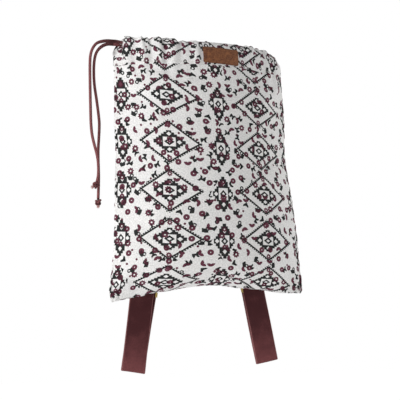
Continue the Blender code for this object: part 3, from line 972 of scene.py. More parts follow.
@dataclass(frozen=True)
class BagForm:
    """The bag's shape, as in its solids but for the patch's width and the bottom seam's left."""

    width: float = 0.353
    height: float = 0.3785
    front_depth: float = 0.060
    back_depth: float = 0.050
    top_thinning: float = 0.20
    foot_rounding: float = 0.042
    corner_drop: float = 0.0265
    side_pucker: float = 0.0012
    top_pucker: float = 0.0022
    top_pucker_reach: float = 0.060
    corner_fold: float = 0.0035
    casing_height: float = 0.0485
    gather_depth: float = 0.0030
    gathers_across: int = 11
    mouth_end_inset: float = 0.07
    patch_middle: Pair = (0.0227, 0.0160)
    patch_width: float = 0.067
    patch_hold: float = 0.012
    webbing_thickness: float = 0.0020
    left_side: Line = (
        (0.0, 0.969), (0.033, 0.992), (0.157, 0.954), (0.281, 0.930), (0.431, 0.915),
        (0.637, 0.893), (0.75, 0.900), (0.86, 0.894), (1.0, 0.892),
    )
    right_side: Line = (
        (0.0, 0.990), (0.022, 1.010), (0.131, 0.990), (0.268, 0.978), (0.433, 0.945),
        (0.573, 0.903), (0.654, 0.894), (0.764, 0.906), (0.86, 0.907), (1.0, 0.898),
    )
    foot_line: Line = (
        (-1.0, 1.0), (-0.88, 0.83), (-0.8, 0.68), (-0.67, 0.53), (-0.54, 0.42), (-0.40, 0.335),
        (-0.22, 0.16), (0.05, 0.04), (0.32, 0.22),
        (0.57, 0.32), (0.82, 0.51), (1.0, 0.58),
    )
    crest_line: Line = (
        (-1.0, 0.62), (-0.975, 0.87), (-0.93, 1.04), (-0.86, 1.06), (-0.68, 1.0), (-0.48, 1.02),
        (-0.25, 0.93), (0.1, 0.94), (0.5, 0.94), (0.74, 0.90), (0.85, 0.82), (0.945, 0.64),
        (1.0, 0.48),
    )

    @property
    def middle_y(self) -> float:
        """Where the bag's middle plane stands, so that the straps' root is at the origin."""
        return -(self.back_depth * (1 - self.top_thinning) + self.webbing_thickness)

    def half_width(self, v: float, u: float) -> float:
        """Distance of a side seam from the middle, on the side of u."""
        return self.width / 2 * along(self.left_side if u < 0 else self.right_side, v)

    @staticmethod
    def lens(u: float) -> float:
        """Depth share across the bag: full in the middle, nothing at the side seams."""
        return max(0.0, 1 - u * u) ** 0.8

    def foot_height(self, u: float) -> float:
        """Height of the bottom seam, whose corners hang lower than its middle."""
        return -self.height - self.corner_drop * along(self.foot_line, u)

    def fullness(self, v: float, u: float, side: Side) -> float:
        """Half depth of the stuffed sack before its folds.

        Args:
            v: share up the sack.
            u: share across the bag.
            side: which panel.

        Returns:
            Metres out from the bag's middle plane.
        """
        full = self.front_depth if side is Side.FRONT else self.back_depth
        belly = 1 - self.top_thinning * ((v - 0.5) / 0.5) ** 2
        rounding = self.foot_rounding / self.height * (1 + 1.2 * abs(u) ** 3)
        rise = 1 - min(v / rounding, 1.0)
        return full * belly * math.sqrt(max(0.0, 1 - rise * rise)) * self.lens(u)

    def gather(self, u: float, side: Side) -> float:
        """Uneven waves of the cloth drawn together on the cord, from -1 to 1.

        Args:
            u: share across the bag.
            side: which panel.

        Returns:
            The wave's height.
        """
        turn = math.tau * self.gathers_across / 2 * u + (1.3 if side is Side.FRONT else 4.1)
        sway = 1.1 * math.sin(math.tau * 1.3 * u + side.value) + 0.6 * math.sin(math.tau * 2.3 * u)
        return 0.75 * math.sin(turn + sway) + 0.25 * math.sin(0.53 * turn - 1.7 * sway)

    def fine_gather(self, u: float, side: Side) -> float:
        """Smaller creases between the gathers, from -1 to 1.

        Args:
            u: share across the bag.
            side: which panel.

        Returns:
            The wave's height.
        """
        turn = math.tau * self.gathers_across * 1.15 * u + 2.0 * side.value
        sway = 1.7 * math.sin(math.tau * 1.9 * u + 1.0)
        return math.sin(turn + sway) * (0.6 + 0.4 * math.sin(math.tau * 3.1 * u + 2.2))

    def free_of_patch(self, u: float, side: Side) -> float:
        """How freely the cloth waves: the stitched patch holds it flat in front.

        Args:
            u: share across the bag.
            side: which panel.

        Returns:
            0 at the patch, 1 away from it.
        """
        if side is Side.BACK:
            return 1.0
        off = abs(u * self.half_width(1, u) - self.patch_middle[0]) - self.patch_width / 2
        return eased(off / self.patch_hold)

    def top_wave(self, u: float, side: Side) -> float:
        """How far the cloth waves in and out at the casing seam."""
        return self.top_pucker * self.gather(u, side) * self.free_of_patch(u, side)

    def sack_point(self, u: float, v: float, side: Side) -> Vector:
        """A point of the sack's cloth.

        Args:
            u: share across the bag.
            v: share up the sack.
            side: which panel.

        Returns:
            The point.
        """
        z = self.foot_height(u) * (1 - v)
        ripple = self.side_pucker * math.sin(math.tau * 8.5 * v + u) * abs(u) ** 6
        x = u * self.half_width(v, u) + math.copysign(ripple * eased(4 * (1 - v)), u)
        below = (1 - v) * self.height / self.top_pucker_reach
        folds = self.top_wave(u, side) * math.exp(-2.2 * below)
        y = self.fullness(v, u, side) + (folds + self.corner_folds(u, v)) * self.lens(u) ** 0.4
        return Vector((x, self.middle_y + side.value * y, z))

    def corner_folds(self, u: float, v: float) -> float:
        """Folds that run in from the bottom corners.

        Args:
            u: share across the bag.
            v: share up the sack.

        Returns:
            How far they stand out.
        """
        reach = math.hypot((1 - abs(u)) / 0.42, v / 0.30)
        ray = math.atan2(v / 0.30, (1 - abs(u)) / 0.42)
        fade = eased(1 - reach) * eased(reach / 0.25)
        return self.corner_fold * fade * math.cos(7 * ray + (0.7 if u < 0 else 0.0))

    def crest(self, u: float) -> float:
        """Height of the casing's crest above its seam."""
        return self.casing_height * along(self.crest_line, u)


@dataclass(frozen=True)
class DrawcordPlan:
    """Where the drawcord runs, within 1.5 mm of its solids."""

    form: BagForm
    diameter: float = 0.005
    spacing: float = 2.0
    end_gap: float = 0.0008
    channel: Route = (
        (-0.997, 0.00, 0.912), (-0.960, 0.00, 0.912), (-0.910, -0.20, 0.868),
        (-0.840, -0.45, 0.775), (-0.730, -0.60, 0.66), (-0.540, -0.70, 0.58),
        (-0.250, -0.74, 0.54), (0.000, -0.74, 0.525), (0.320, -0.74, 0.495),
        (0.570, -0.70, 0.425), (0.750, -0.62, 0.31), (0.865, -0.48, 0.213),
        (0.905, 0.00, 0.184), (0.865, 0.48, 0.213), (0.750, 0.60, 0.30), (0.570, 0.68, 0.407),
        (0.320, 0.72, 0.475), (0.000, 0.72, 0.505), (-0.250, 0.72, 0.515),
        (-0.540, 0.68, 0.55), (-0.730, 0.58, 0.60), (-0.840, 0.42, 0.68),
        (-0.910, 0.18, 0.76), (-0.960, 0.00, 0.797), (-0.997, 0.00, 0.797),
    )
    upper_tail: Route = (
        (0.0, 0.0, 0.0), (-0.0065, 0.0, 0.0), (-0.0155, -0.0005, -0.0012),
        (-0.0280, -0.0012, -0.0057), (-0.0362, -0.0020, -0.0157), (-0.0407, -0.0026, -0.0292),
        (-0.0422, -0.0030, -0.0482), (-0.0428, -0.0034, -0.0792), (-0.0431, -0.0038, -0.1192),
        (-0.0431, -0.0044, -0.1502), (-0.0415, -0.0050, -0.1702), (-0.0375, -0.0056, -0.1892),
        (-0.0337, -0.0060, -0.2062), (-0.0325, -0.0062, -0.2242), (-0.0334, -0.0064, -0.2382),
        (-0.0357, -0.0066, -0.2482),
    )
    lower_tail: Route = (
        (0.0, 0.0, 0.0), (-0.0055, 0.0, 0.0), (-0.0139, 0.0004, -0.0017),
        (-0.0228, 0.0008, -0.0080), (-0.0288, 0.0012, -0.0161), (-0.0324, 0.0014, -0.0276),
        (-0.0343, 0.0016, -0.0466), (-0.0339, 0.0018, -0.0726), (-0.0305, 0.0020, -0.1006),
        (-0.0277, 0.0022, -0.1266), (-0.0268, 0.0024, -0.1436), (-0.0284, 0.0025, -0.1686),
        (-0.0299, 0.0024, -0.1876), (-0.0302, 0.0022, -0.2086), (-0.0302, 0.0018, -0.2306),
        (-0.0312, 0.0014, -0.2516), (-0.0323, 0.0010, -0.2696),
    )

    def run(self) -> list[Vector]:
        """The cord's way through the casing, in metres.

        Returns:
            Its points, from the upper exit to the lower one.
        """
        places = []
        for u, deep, high in self.channel:
            side = Side.FRONT if deep < 0 else Side.BACK
            y = self.form.middle_y + deep * self.form.fullness(1, u, side)
            x = u * self.form.half_width(1, u)
            places.append(Vector((x, y, high * self.form.casing_height)))
        return places

    def exit(self, upper: bool) -> Vector:
        """Where one end of the cord leaves the casing."""
        return self.run()[0 if upper else -1] - Vector((self.end_gap, 0, 0))

    def tail(self, upper: bool) -> list[Vector]:
        """The route of one free end."""
        start = self.exit(upper)
        return [start + Vector(p) for p in (self.upper_tail if upper else self.lower_tail)]


# Mesh helpers


def add_piece(
    name: str,
    bm: bmesh.types.BMesh,
    finish: Material,
    turn_out: bool = True,
    crease: float = math.radians(50),
) -> bpy.types.Object:
    """Writes a bmesh as one piece of the bag.

    Args:
        name: the piece's name.
        bm: its mesh, in the row frame; it is freed.
        finish: its material.
        turn_out: whether to turn closed shells' faces outwards.
        crease: edges sharper than this stay sharp.

    Returns:
        The new object, riding on the bag.
    """
    if turn_out:
        bmesh.ops.recalc_face_normals(bm, faces=bm.faces)
    mesh = bpy.data.meshes.new(name)
    bm.to_mesh(mesh)
    bm.free()
    mesh.shade_smooth()
    mesh.set_sharp_from_angle(angle=crease)
    piece = bpy.data.objects.new(name, mesh)
    bpy.context.collection.objects.link(piece)
    mesh.materials.append(finish)
    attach(piece, BODY)
    LOG.info("%s: %d faces", name, len(mesh.polygons))
    return piece


def lay_grid(
    bm: bmesh.types.BMesh, map_name: str, columns: int, rows: int,
    lay: Callable[[float, float], tuple[Vector, Pair]],
) -> list[bmesh.types.BMVert]:
    """Adds a flat grid and lays its points on a surface.

    Args:
        bm: where it is added.
        map_name: the UV map that is written.
        columns: the grid's cells across.
        rows: the grid's cells up.
        lay: gives a point's place and its place on the map, from its shares across and up.

    Returns:
        The grid's points.
    """
    layer = bm.loops.layers.uv.get(map_name) or bm.loops.layers.uv.new(map_name)
    points = bmesh.ops.create_grid(bm, x_segments=columns, y_segments=rows, size=1.0)["verts"]
    for point in points:
        point.co, mapped = lay((point.co.x + 1) / 2, (point.co.y + 1) / 2)
        for loop in point.link_loops:
            loop[layer].uv = mapped
    return points


def close_roll(bm: bmesh.types.BMesh, points: Sequence[bmesh.types.BMVert]) -> None:
    """Joins the long edges of a rolled grid and fills its two ends.

    Args:
        bm: where the grid is.
        points: the grid's points.
    """
    bmesh.ops.remove_doubles(bm, verts=points, dist=WELD)
    rims = dict.fromkeys(e for p in points if p.is_valid for e in p.link_edges if e.is_boundary)
    bmesh.ops.holes_fill(bm, edges=list(rims), sides=0)


def section_turns(points: Sequence[Vector]) -> list[Matrix]:
    """How a tube's section is turned at each point of its line, carried on without twist.

    Args:
        points: the line.

    Returns:
        Turns that carry a section's own axes across, up and along to the line's.
    """
    up, turns = Vector((0, 1, 0)), []
    for i in range(len(points)):
        ahead = (points[min(i + 1, len(points) - 1)] - points[max(i - 1, 0)]).normalized()
        up = (up - ahead * up.dot(ahead)).normalized()
        turns.append(Matrix((ahead.cross(up), up, ahead)).transposed())
    return turns


def tube(
    bm: bmesh.types.BMesh, points: Sequence[Vector], radii: Callable[[float], float],
    sides: int = 14, pressed: Callable[[float], float] = lambda t: 0.0,
) -> None:
    """Adds a round tube with closed ends along a line of points, rolled from a grid.

    Args:
        bm: where it is added; its "cord" UV map gets round and along.
        points: the tube's middle line.
        radii: the radius at a share of the line, from 0 to 1.
        sides: faces round it.
        pressed: how far it is pressed flat at a share of the line: narrower across, as much
            taller up.
    """
    turns, runs = section_turns(points), run_lengths(points)

    def lay(around: float, share: float) -> tuple[Vector, Pair]:
        """A point of the tube's skin.

        Args:
            around: share round the tube.
            share: share along it.

        Returns:
            Its place, and its place on the map.
        """
        i, angle, taller = round(share * (len(points) - 1)), math.tau * around, 1 + pressed(share)
        out = Vector((math.cos(angle) * taller, math.sin(angle) / taller, 0)) * radii(share)
        return points[i] + turns[i] @ out, (around, runs[i])

    close_roll(bm, lay_grid(bm, "cord", sides, len(points) - 1, lay))


@dataclass
class Stitches:
    """Short stitches of thread along a line on a surface."""

    length: float = 0.0030
    pitch: float = 0.0038
    width: float = 0.0007
    height: float = 0.0005

    def add(self, bm: bmesh.types.BMesh, places: Sequence[tuple[Vector, Vector]]) -> None:
        """Sews along a line.

        Args:
            bm: where the stitches are added.
            places: points on the surface in order, each with the surface's outward normal.
        """
        run, due = 0.0, self.pitch / 2
        for (a, na), (b, nb) in zip(places, places[1:]):
            step = (b - a).length
            while due <= run + step and step > 1e-9:
                t = (due - run) / step
                self.one(bm, a.lerp(b, t), na.lerp(nb, t).normalized(), (b - a).normalized())
                due += self.pitch
            run += step

    def one(self, bm: bmesh.types.BMesh, place: Vector, out: Vector, ahead: Vector) -> None:
        """One stitch, a flattened bead that stands half out of the cloth.

        Args:
            bm: where it is added.
            place: its middle.
            out: the surface's outward normal.
            ahead: the way of the seam.
        """
        across = out.cross(ahead).normalized()
        ahead = across.cross(out)
        turn = Matrix((ahead, across, out)).transposed().to_4x4()
        size = Matrix.Diagonal((self.length / 2, self.width / 2, self.height, 1.0))
        bmesh.ops.create_uvsphere(
            bm, u_segments=8, v_segments=5, radius=1.0,
            matrix=Matrix.Translation(place) @ turn @ size,
        )


# The sack


@dataclass
class Sack:
    """The stuffed sack: two canvas panels, blown up by their filling between sewn seams."""

    form: BagForm
    columns: int = 84
    rows: int = 92
    flat_half: float = 0.175
    print_offset: Pair = (0.0095, -0.0635)
    drift_across: Line = ((-1.0, 0.0), (-0.43, 0.0055), (0.05, 0.0), (0.53, 0.004), (1.0, 0.002))
    drift_low: Line = ((-1.0, -0.003), (-0.43, 0.004), (0.05, 0.003), (0.53, 0.0), (1.0, 0.0))
    drift_high: Line = ((-1.0, -0.007), (-0.43, -0.005), (0.05, 0.0045), (0.53, 0.007), (1.0, 0.007))
    back_print_shift: Pair = (0.031, 0.022)
    foot_turn: Pair = (0.25, 0.6)
    edge_closeness: float = 0.94
    row_closeness: float = 1.25
    pillow_reach: float = 0.0035
    back_pillow_share: float = 0.1
    seam_reach: float = 0.0002
    sim_frames: int = 22
    pressure: float = 3.0
    cloth_mass: float = 0.15
    stretch_stiffness: float = 40.0
    shear_stiffness: float = 20.0
    bending_stiffness: float = 2.0
    slack: float = 0.012

    def build(self, canvas: Material) -> bpy.types.Object:
        """Cuts, sews and stuffs the sack.

        Args:
            canvas: the printed canvas.

        Returns:
            The finished piece, which stands for its solid.
        """
        bm = bmesh.new()
        for side in Side:
            self.add_panel(bm, side)
        bmesh.ops.remove_doubles(bm, verts=bm.verts, dist=WELD)
        sack = add_piece("canvas_sack", bm, canvas)
        self.stuff(sack)
        smooth = sack.modifiers.new("fine_cloth", "SUBSURF")
        smooth.levels = smooth.render_levels = 1
        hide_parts("sack_body")
        return sack

    def share_across(self, a: float) -> float:
        """Spreads the columns so that they lie closer near the side seams."""
        close = self.edge_closeness
        return math.sin(math.pi / 2 * a * close) / math.sin(math.pi / 2 * close)

    def add_panel(self, bm: bmesh.types.BMesh, side: Side) -> None:
        """Adds one panel, with its flat cloth's place as UV map.

        Args:
            bm: where it is added.
            side: which panel.
        """
        arcs = self.arc_table(side)

        def lay(a: float, b: float) -> tuple[Vector, Pair]:
            """A point of the panel, with its rows closer near the bottom seam."""
            u, v = self.share_across(2 * a - 1), b**self.row_closeness
            return self.form.sack_point(u, v, side), self.flat_place(u, v, side, arcs)

        lay_grid(bm, "cloth", self.columns, self.rows, lay)

    def arc_table(self, side: Side) -> list[Pair]:
        """How far along the cloth each share across lies, at the sack's middle height.

        Args:
            side: which panel.

        Returns:
            (share, metres from the middle) points, at the flat cloth's width.
        """
        table, run, last = [(-1.0, 0.0)], 0.0, None
        for k in range(101):
            u = -1 + k / 50
            place = Vector((u * self.form.half_width(0.5, u), self.form.fullness(0.5, u, side)))
            if last is not None:
                run += (place - last).length
                table.append((u, run))
            last = place
        middle = table[50][1]
        return [(u, (arc - middle) / (run / 2) * self.flat_half) for u, arc in table]

    def flat_place(self, u: float, v: float, side: Side, arcs: Line) -> Pair:
        """Where on the flat, printed cloth a point of the panel was cut from.

        Args:
            u: share across the bag.
            v: share up the sack.
            side: which panel.
            arcs: the panel's arc table.

        Returns:
            Metres across and up the cloth.
        """
        across = along(arcs, u)
        down = self.form.foot_height(u) * (1 - v)
        turned_below, share = self.foot_turn
        if v < turned_below:
            turn = self.form.fullness(turned_below, u, side) - self.form.fullness(v, u, side)
            down -= share * max(turn, 0.0)
        if side is Side.BACK:
            aside, higher = self.back_print_shift
            return (-across + aside, down - self.print_offset[1] + higher)
        across += along(self.drift_across, u)
        down += along(self.drift_low, u) + eased((v - 0.3) / 0.55) * along(self.drift_high, u)
        return (across - self.print_offset[0], down - self.print_offset[1])

    def stuff(self, sack: bpy.types.Object) -> None:
        """Lets pressure blow the cloth up between its seams, so that it puckers along them.

        Args:
            sack: the sewn sack, whose mesh takes on the result.
        """
        mesh, scene = sack.data, bpy.context.scene
        rest = [v.co.copy() for v in mesh.vertices]
        seam = sack.vertex_groups.new(name="seams")
        for i, place in enumerate(rest):
            if self.is_sewn(place):
                seam.add([i], 1.0, "REPLACE")
        filling = self.add_filling(sack, seam.name)
        for frame in range(1, self.sim_frames + 1):
            scene.frame_set(frame)
        blown = sack.evaluated_get(bpy.context.evaluated_depsgraph_get()).to_mesh()
        moved = [v.co.copy() for v in blown.vertices]
        sack.modifiers.remove(filling)
        scene.frame_set(1)
        far = 0.0
        for vert, was, now in zip(mesh.vertices, rest, moved):
            shift = self.held_back(was, now - was)
            far = max(far, shift.length)
            vert.co = was + shift
        sack.vertex_groups.remove(seam)
        mesh.update()
        LOG.info("stuffed sack moved up to %.1f mm", far * 1000)

    def is_sewn(self, place: Vector) -> bool:
        """Whether a point is held by a seam."""
        at_side = abs(place.y - self.form.middle_y) < self.seam_reach
        return at_side or place.z > -self.seam_reach

    def add_filling(self, sack: bpy.types.Object, seams: str) -> bpy.types.Modifier:
        """Adds the cloth simulation, whose air pressure stands for the filling.

        Args:
            sack: the sewn sack.
            seams: the group of points that are held.

        Returns:
            The simulation.
        """
        filling = sack.modifiers.new("filling", "CLOTH")
        cloth = filling.settings
        cloth.quality = 6
        cloth.mass = self.cloth_mass
        cloth.tension_stiffness = cloth.compression_stiffness = self.stretch_stiffness
        cloth.shear_stiffness = self.shear_stiffness
        cloth.bending_stiffness = self.bending_stiffness
        cloth.use_pressure = True
        cloth.uniform_pressure_force = self.pressure
        cloth.vertex_group_mass = seams
        cloth.shrink_min = -self.slack
        cloth.effector_weights.gravity = 0.0
        cloth.air_damping = 2.0
        filling.collision_settings.use_collision = False
        filling.point_cache.frame_start, filling.point_cache.frame_end = 1, self.sim_frames
        return filling

    def held_back(self, place: Vector, shift: Vector) -> Vector:
        """Keeps the stuffed cloth near its form, and the back flatter than the front.

        Args:
            place: where the point was.
            shift: how far it was blown.

        Returns:
            How far it may go.
        """
        if place.y > self.form.middle_y and shift.y > 0:
            shift.y *= self.back_pillow_share
        if shift.length > self.pillow_reach:
            shift *= self.pillow_reach / shift.length
        return shift


# The casing


@dataclass
class Casing:
    """The strip sewn on round the mouth, gathered on the cord and open at its left end."""

    form: BagForm
    columns: int = 260
    lap: float = 0.0009
    gape: float = 0.0046
    gape_from: float = 0.86
    gape_ease: float = 0.05
    gape_floor: float = 0.60
    gape_rows: int = 6
    crest_gape: float = 0.0008
    lip_place: float = 0.62
    lip_width: float = 0.13
    lip_height: float = 0.34
    lip_depth: float = 0.0026
    lip_drop: float = 0.0042
    wall_gap: float = 0.0004
    end_closeness: float = 0.04
    front_dip: Line = ((-1.0, 0.62), (-0.975, 0.71), (-0.922, 0.73), (-0.902, 1.08))
    back_dip: Line = ((-1.0, 0.62), (-0.975, 0.78), (-0.922, 0.80), (-0.90, 1.08))
    flat_half: float = 0.175
    flat_depth: float = 0.048
    print_stretch: float = 1.122
    print_offset: Pair = (-0.0037, 0.0415)
    back_print_shift: Pair = (0.12, 0.03)
    stitch_half: float = 0.985
    stitch_steps: int = 240
    stitch_height: float = 0.055
    section: Line = (
        (1.0, -0.035), (1.0, 0.0), (1.01, 0.10), (1.02, 0.22), (1.012, 0.34), (1.0, 0.46),
        (0.975, 0.57), (0.94, 0.68), (0.895, 0.78), (0.84, 0.86), (0.775, 0.925), (0.70, 0.97),
        (0.63, 0.993), (0.56, 1.0), (0.495, 0.997), (0.43, 0.985), (0.37, 0.97), (0.31, 0.95),
        (0.25, 0.928), (0.20, 0.905), (0.15, 0.885), (0.10, 0.865), (0.06, 0.845), (0.0, 0.80),
    )

    def build(self, finishes: Finishes) -> bpy.types.Object:
        """Gathers the strip round the mouth and sews it on.

        Args:
            finishes: the bag's finishes.

        Returns:
            The finished piece, which stands for its solid.
        """
        bm = bmesh.new()
        for side in Side:
            self.add_wall(bm, side)
        bmesh.ops.remove_doubles(bm, verts=bm.verts, dist=WELD)
        casing = add_piece(
            "canvas_casing", bm, finishes.canvas, crease=math.radians(75)
        )
        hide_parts("casing_band")
        self.sew(finishes.white_thread)
        return casing

    def add_wall(self, bm: bmesh.types.BMesh, side: Side) -> None:
        """Adds the front or the back half of the strip.

        Args:
            bm: where it is added.
            side: which half.
        """
        rows = len(self.section) - 1

        def lay(a: float, b: float) -> tuple[Vector, Pair]:
            """A point of the strip, with its columns closer near the bag's ends.

            Args:
                a: share across the grid.
                b: share up the strip's section.

            Returns:
                Its place, and its place on the flat cloth.
            """
            x, row = 2 * a - 1, round(b * rows)
            u = x * (1 - self.end_closeness * (1 - x * x))
            return self.point(u, row, side), self.flat_place(u, row, side)

        lay_grid(bm, "cloth", self.columns, rows, lay)

    def point(self, u: float, row: int, side: Side) -> Vector:
        """A point of the strip: up its outside, over the crest and down into the shut mouth.

        Args:
            u: share across the bag.
            row: the point of the section.
            side: which half.

        Returns:
            The point.
        """
        form = self.form
        deep, high = self.section[row]
        free = form.lens(u) ** 0.4
        crest = min(form.crest(u), self.dip(u, side))
        inner = eased((1.0 - deep) / 0.9)
        hold = form.free_of_patch(u, side) if row < self.crest_row else 1.0
        wave = form.gather(u, side) * hold
        fine = form.fine_gather(u, side) * hold
        lift = max(high, 0.0) ** 2.2 * form.gather_depth * free
        if row > self.crest_row:
            lift *= 0.35 + 0.65 * deep / 0.56
        start = form.fullness(1, u, side) + form.top_wave(u, side) * free
        y = start * deep + (0.7 * wave + 0.55 * fine) * lift
        if row:
            y += self.lap * (1.0 if row < self.crest_row else 0.3)
        z = crest * high + (0.35 * wave + 0.45 * fine) * lift
        x = u * form.half_width(1, u) * (1 - form.mouth_end_inset * inner * abs(u) ** 4)
        if side is Side.FRONT and 0 < row < self.crest_row:
            sag = self.lip(u) * (1 - eased(high / self.lip_height))
            y, z = y + self.lip_depth * sag, z - self.lip_drop * sag
        y, z = self.open_end(u, row, y, z)
        edge = 0.0 if row == len(self.section) - 1 else self.wall_gap
        return Vector((x, form.middle_y + side.value * max(y, edge), z))

    def dip(self, u: float, side: Side) -> float:
        """How high the wall reaches at the left end, where the cord bears it down."""
        line = self.front_dip if side is Side.FRONT else self.back_dip
        return self.form.casing_height * (along(line, u) if u < line[-1][0] else 2.0)

    def lip(self, u: float) -> float:
        """Share of the soft fold in which the strip sags over its seam, right of the patch."""
        return math.exp(-(((u - self.lip_place) / self.lip_width) ** 2))

    @property
    def crest_row(self) -> int:
        """The row that is the crest."""
        return max(range(len(self.section)), key=lambda i: self.section[i][1])

    def open_end(self, u: float, row: int, y: float, z: float) -> Pair:
        """Parts the two walls at the left end, where the cord leaves between them.

        Args:
            u: share across the bag.
            row: the point of the section.
            y: how far out from the middle plane the wall would be.
            z: how high it would be.

        Returns:
            How far out and how high it is.
        """
        share = eased((-u - self.gape_from) / self.gape_ease)
        if share <= 0 or row < self.crest_row - self.gape_rows:
            return y, z
        floor = self.gape_floor * self.form.casing_height
        last = len(self.section) - 1
        if row <= self.crest_row:
            return max(y, share * (self.gape + self.crest_gape)), z
        down = (row - self.crest_row) / (last - self.crest_row)
        deep_z = max(z - share * (z - floor) * eased(down * 1.6), floor)
        wall = self.gape * (1 - eased((down - 0.55) / 0.45))
        return y * (1 - share) + wall * share, min(z, deep_z)

    def flat_place(self, u: float, row: int, side: Side) -> Pair:
        """Where on the flat, printed strip a point was cut from.

        Args:
            u: share across the bag.
            row: the point of the section.
            side: which half.

        Returns:
            Metres across and up the cloth.
        """
        across = u * self.flat_half * self.print_stretch
        run = 0.0
        for (d0, h0), (d1, h1) in zip(self.section[:row], self.section[1 : row + 1]):
            run += math.hypot((d1 - d0) * self.flat_depth, (h1 - h0) * self.form.casing_height)
        if side is Side.BACK:
            return (-across + self.back_print_shift[0], run + self.back_print_shift[1])
        return (across - self.print_offset[0], run - self.print_offset[1])

    def sew(self, thread: Material) -> None:
        """Runs a row of stitches round the casing, just above its seam.

        Args:
            thread: the thread's finish.
        """
        bm = bmesh.new()
        stitch = Stitches()
        for side in Side:
            line = []
            for k in range(self.stitch_steps + 1):
                u = -self.stitch_half + 2 * self.stitch_half * k / self.stitch_steps
                here = self.surface(u, self.stitch_height, side)
                ahead = self.surface(u + 0.002, self.stitch_height, side)
                up = self.surface(u, 0.12, side)
                out = (ahead - here).cross(up - here).normalized() * -side.value
                line.append((here, out))
            stitch.add(bm, line)
        add_piece("casing_stitches", bm, thread)

    def surface(self, u: float, high: float, side: Side) -> Vector:
        """A point on the casing's outside, between two rows of its section.

        Args:
            u: share across the bag.
            high: height as a share of the crest's.
            side: which half.

        Returns:
            The point.
        """
        for row in range(1, self.crest_row):
            low, top = self.section[row][1], self.section[row + 1][1]
            if high <= top:
                t = (high - low) / (top - low)
                return self.point(u, row, side).lerp(self.point(u, row + 1, side), t)
        return self.point(u, self.crest_row, side)


# The patch


@dataclass
class Patch:
    """The bare leather patch, sewn flat on the casing's front."""

    form: BagForm
    casing: Casing
    width: float = 0.067
    height: float = 0.0295
    thickness: float = 0.0018
    corner: float = 0.0032
    rounding: float = 0.0005
    tilt: float = math.radians(-1.5)
    cells_across: int = 44
    cells_up: int = 20
    puff: float = 0.0003
    pressed_edge: Pair = (0.72, 0.28)
    cloth_gap: float = 0.0004
    stitch_inset: float = 0.0022
    stitch_points: int = 24

    def build(self, finishes: Finishes) -> bpy.types.Object:
        """Cuts the patch, rounds its edges and bends it to the casing.

        Args:
            finishes: the bag's finishes.

        Returns:
            The finished piece, which stands for its solid.
        """
        bm = bmesh.new()
        bmesh.ops.create_cube(bm, size=1.0)
        bmesh.ops.scale(bm, vec=(self.width, self.thickness, self.height), verts=bm.verts)
        upright = [e for e in bm.edges if abs((e.verts[0].co - e.verts[1].co).y) > 1e-6]
        bmesh.ops.bevel(bm, geom=upright, offset=self.corner, segments=5, profile=0.5,
                        affect="EDGES", material=-1)
        rim = [e for e in bm.edges if e.is_manifold and e.calc_face_angle() > math.radians(60)]
        bmesh.ops.bevel(bm, geom=rim, offset=self.rounding, segments=2, profile=0.5,
                        affect="EDGES", material=-1)
        for count, size, axis in ((self.cells_across, self.width, 0), (self.cells_up, self.height, 2)):
            for step in range(1, count):
                normal = Vector((0, 0, 0))
                normal[axis] = 1.0
                bmesh.ops.bisect_plane(
                    bm, geom=bm.verts[:] + bm.edges[:] + bm.faces[:],
                    plane_co=normal * (size * (step / count - 0.5)), plane_no=normal,
                )
        layer = bm.loops.layers.uv.new("patch")
        for face in bm.faces:
            for loop in face.loops:
                co = loop.vert.co
                loop[layer].uv = (2 * co.x / self.width, 2 * co.z / self.height)
        for vert in bm.verts:
            vert.co = self.bent(vert.co)
        patch = add_piece("leather_label", bm, finishes.leather)
        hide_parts("leather_patch")
        self.sew(finishes.brown_thread)
        return patch

    def bent(self, co: Vector) -> Vector:
        """Lays a point of the flat patch on the casing.

        Args:
            co: the point, from the patch's middle.

        Returns:
            Its place in the row frame.
        """
        turned = Matrix.Rotation(-self.tilt, 3, "Y") @ Vector((co.x, 0, co.z))
        x, z = turned.x + self.form.patch_middle[0], turned.z + self.form.patch_middle[1]
        edge = max(abs(co.x) / (self.width / 2), abs(co.z) / (self.height / 2))
        pressed_from, pressed_over = self.pressed_edge
        puff = self.puff * (1 - eased((edge - pressed_from) / pressed_over)) if co.y < 0 else 0.0
        ground = self.casing_front(x, z) - self.cloth_gap - self.thickness / 2
        return Vector((x, ground + co.y - puff, z))

    def casing_front(self, x: float, z: float) -> float:
        """Depth of the casing's front at a place."""
        u = x / self.form.half_width(1, x)
        return self.casing.surface(u, z / self.form.crest(u), Side.FRONT).y

    def sew(self, thread: Material) -> None:
        """Sews the patch on, a little in from its edge.

        Args:
            thread: the thread's finish.
        """
        bm = bmesh.new()
        half_w, half_h = self.width / 2 - self.stitch_inset, self.height / 2 - self.stitch_inset
        corners = [(-half_w, -half_h), (half_w, -half_h), (half_w, half_h), (-half_w, half_h)]
        line = []
        for (x0, z0), (x1, z1) in zip(corners, corners[1:] + corners[:1]):
            for k in range(self.stitch_points):
                t = k / self.stitch_points
                place = Vector((x0 + (x1 - x0) * t, -self.thickness / 2, z0 + (z1 - z0) * t))
                line.append((self.bent(place), Vector((0, -1, 0))))
        line.append(line[0])
        Stitches(length=0.0022, pitch=0.0030, width=0.0006, height=0.00035).add(bm, line)
        add_piece("label_stitches", bm, thread)


# The drawcord


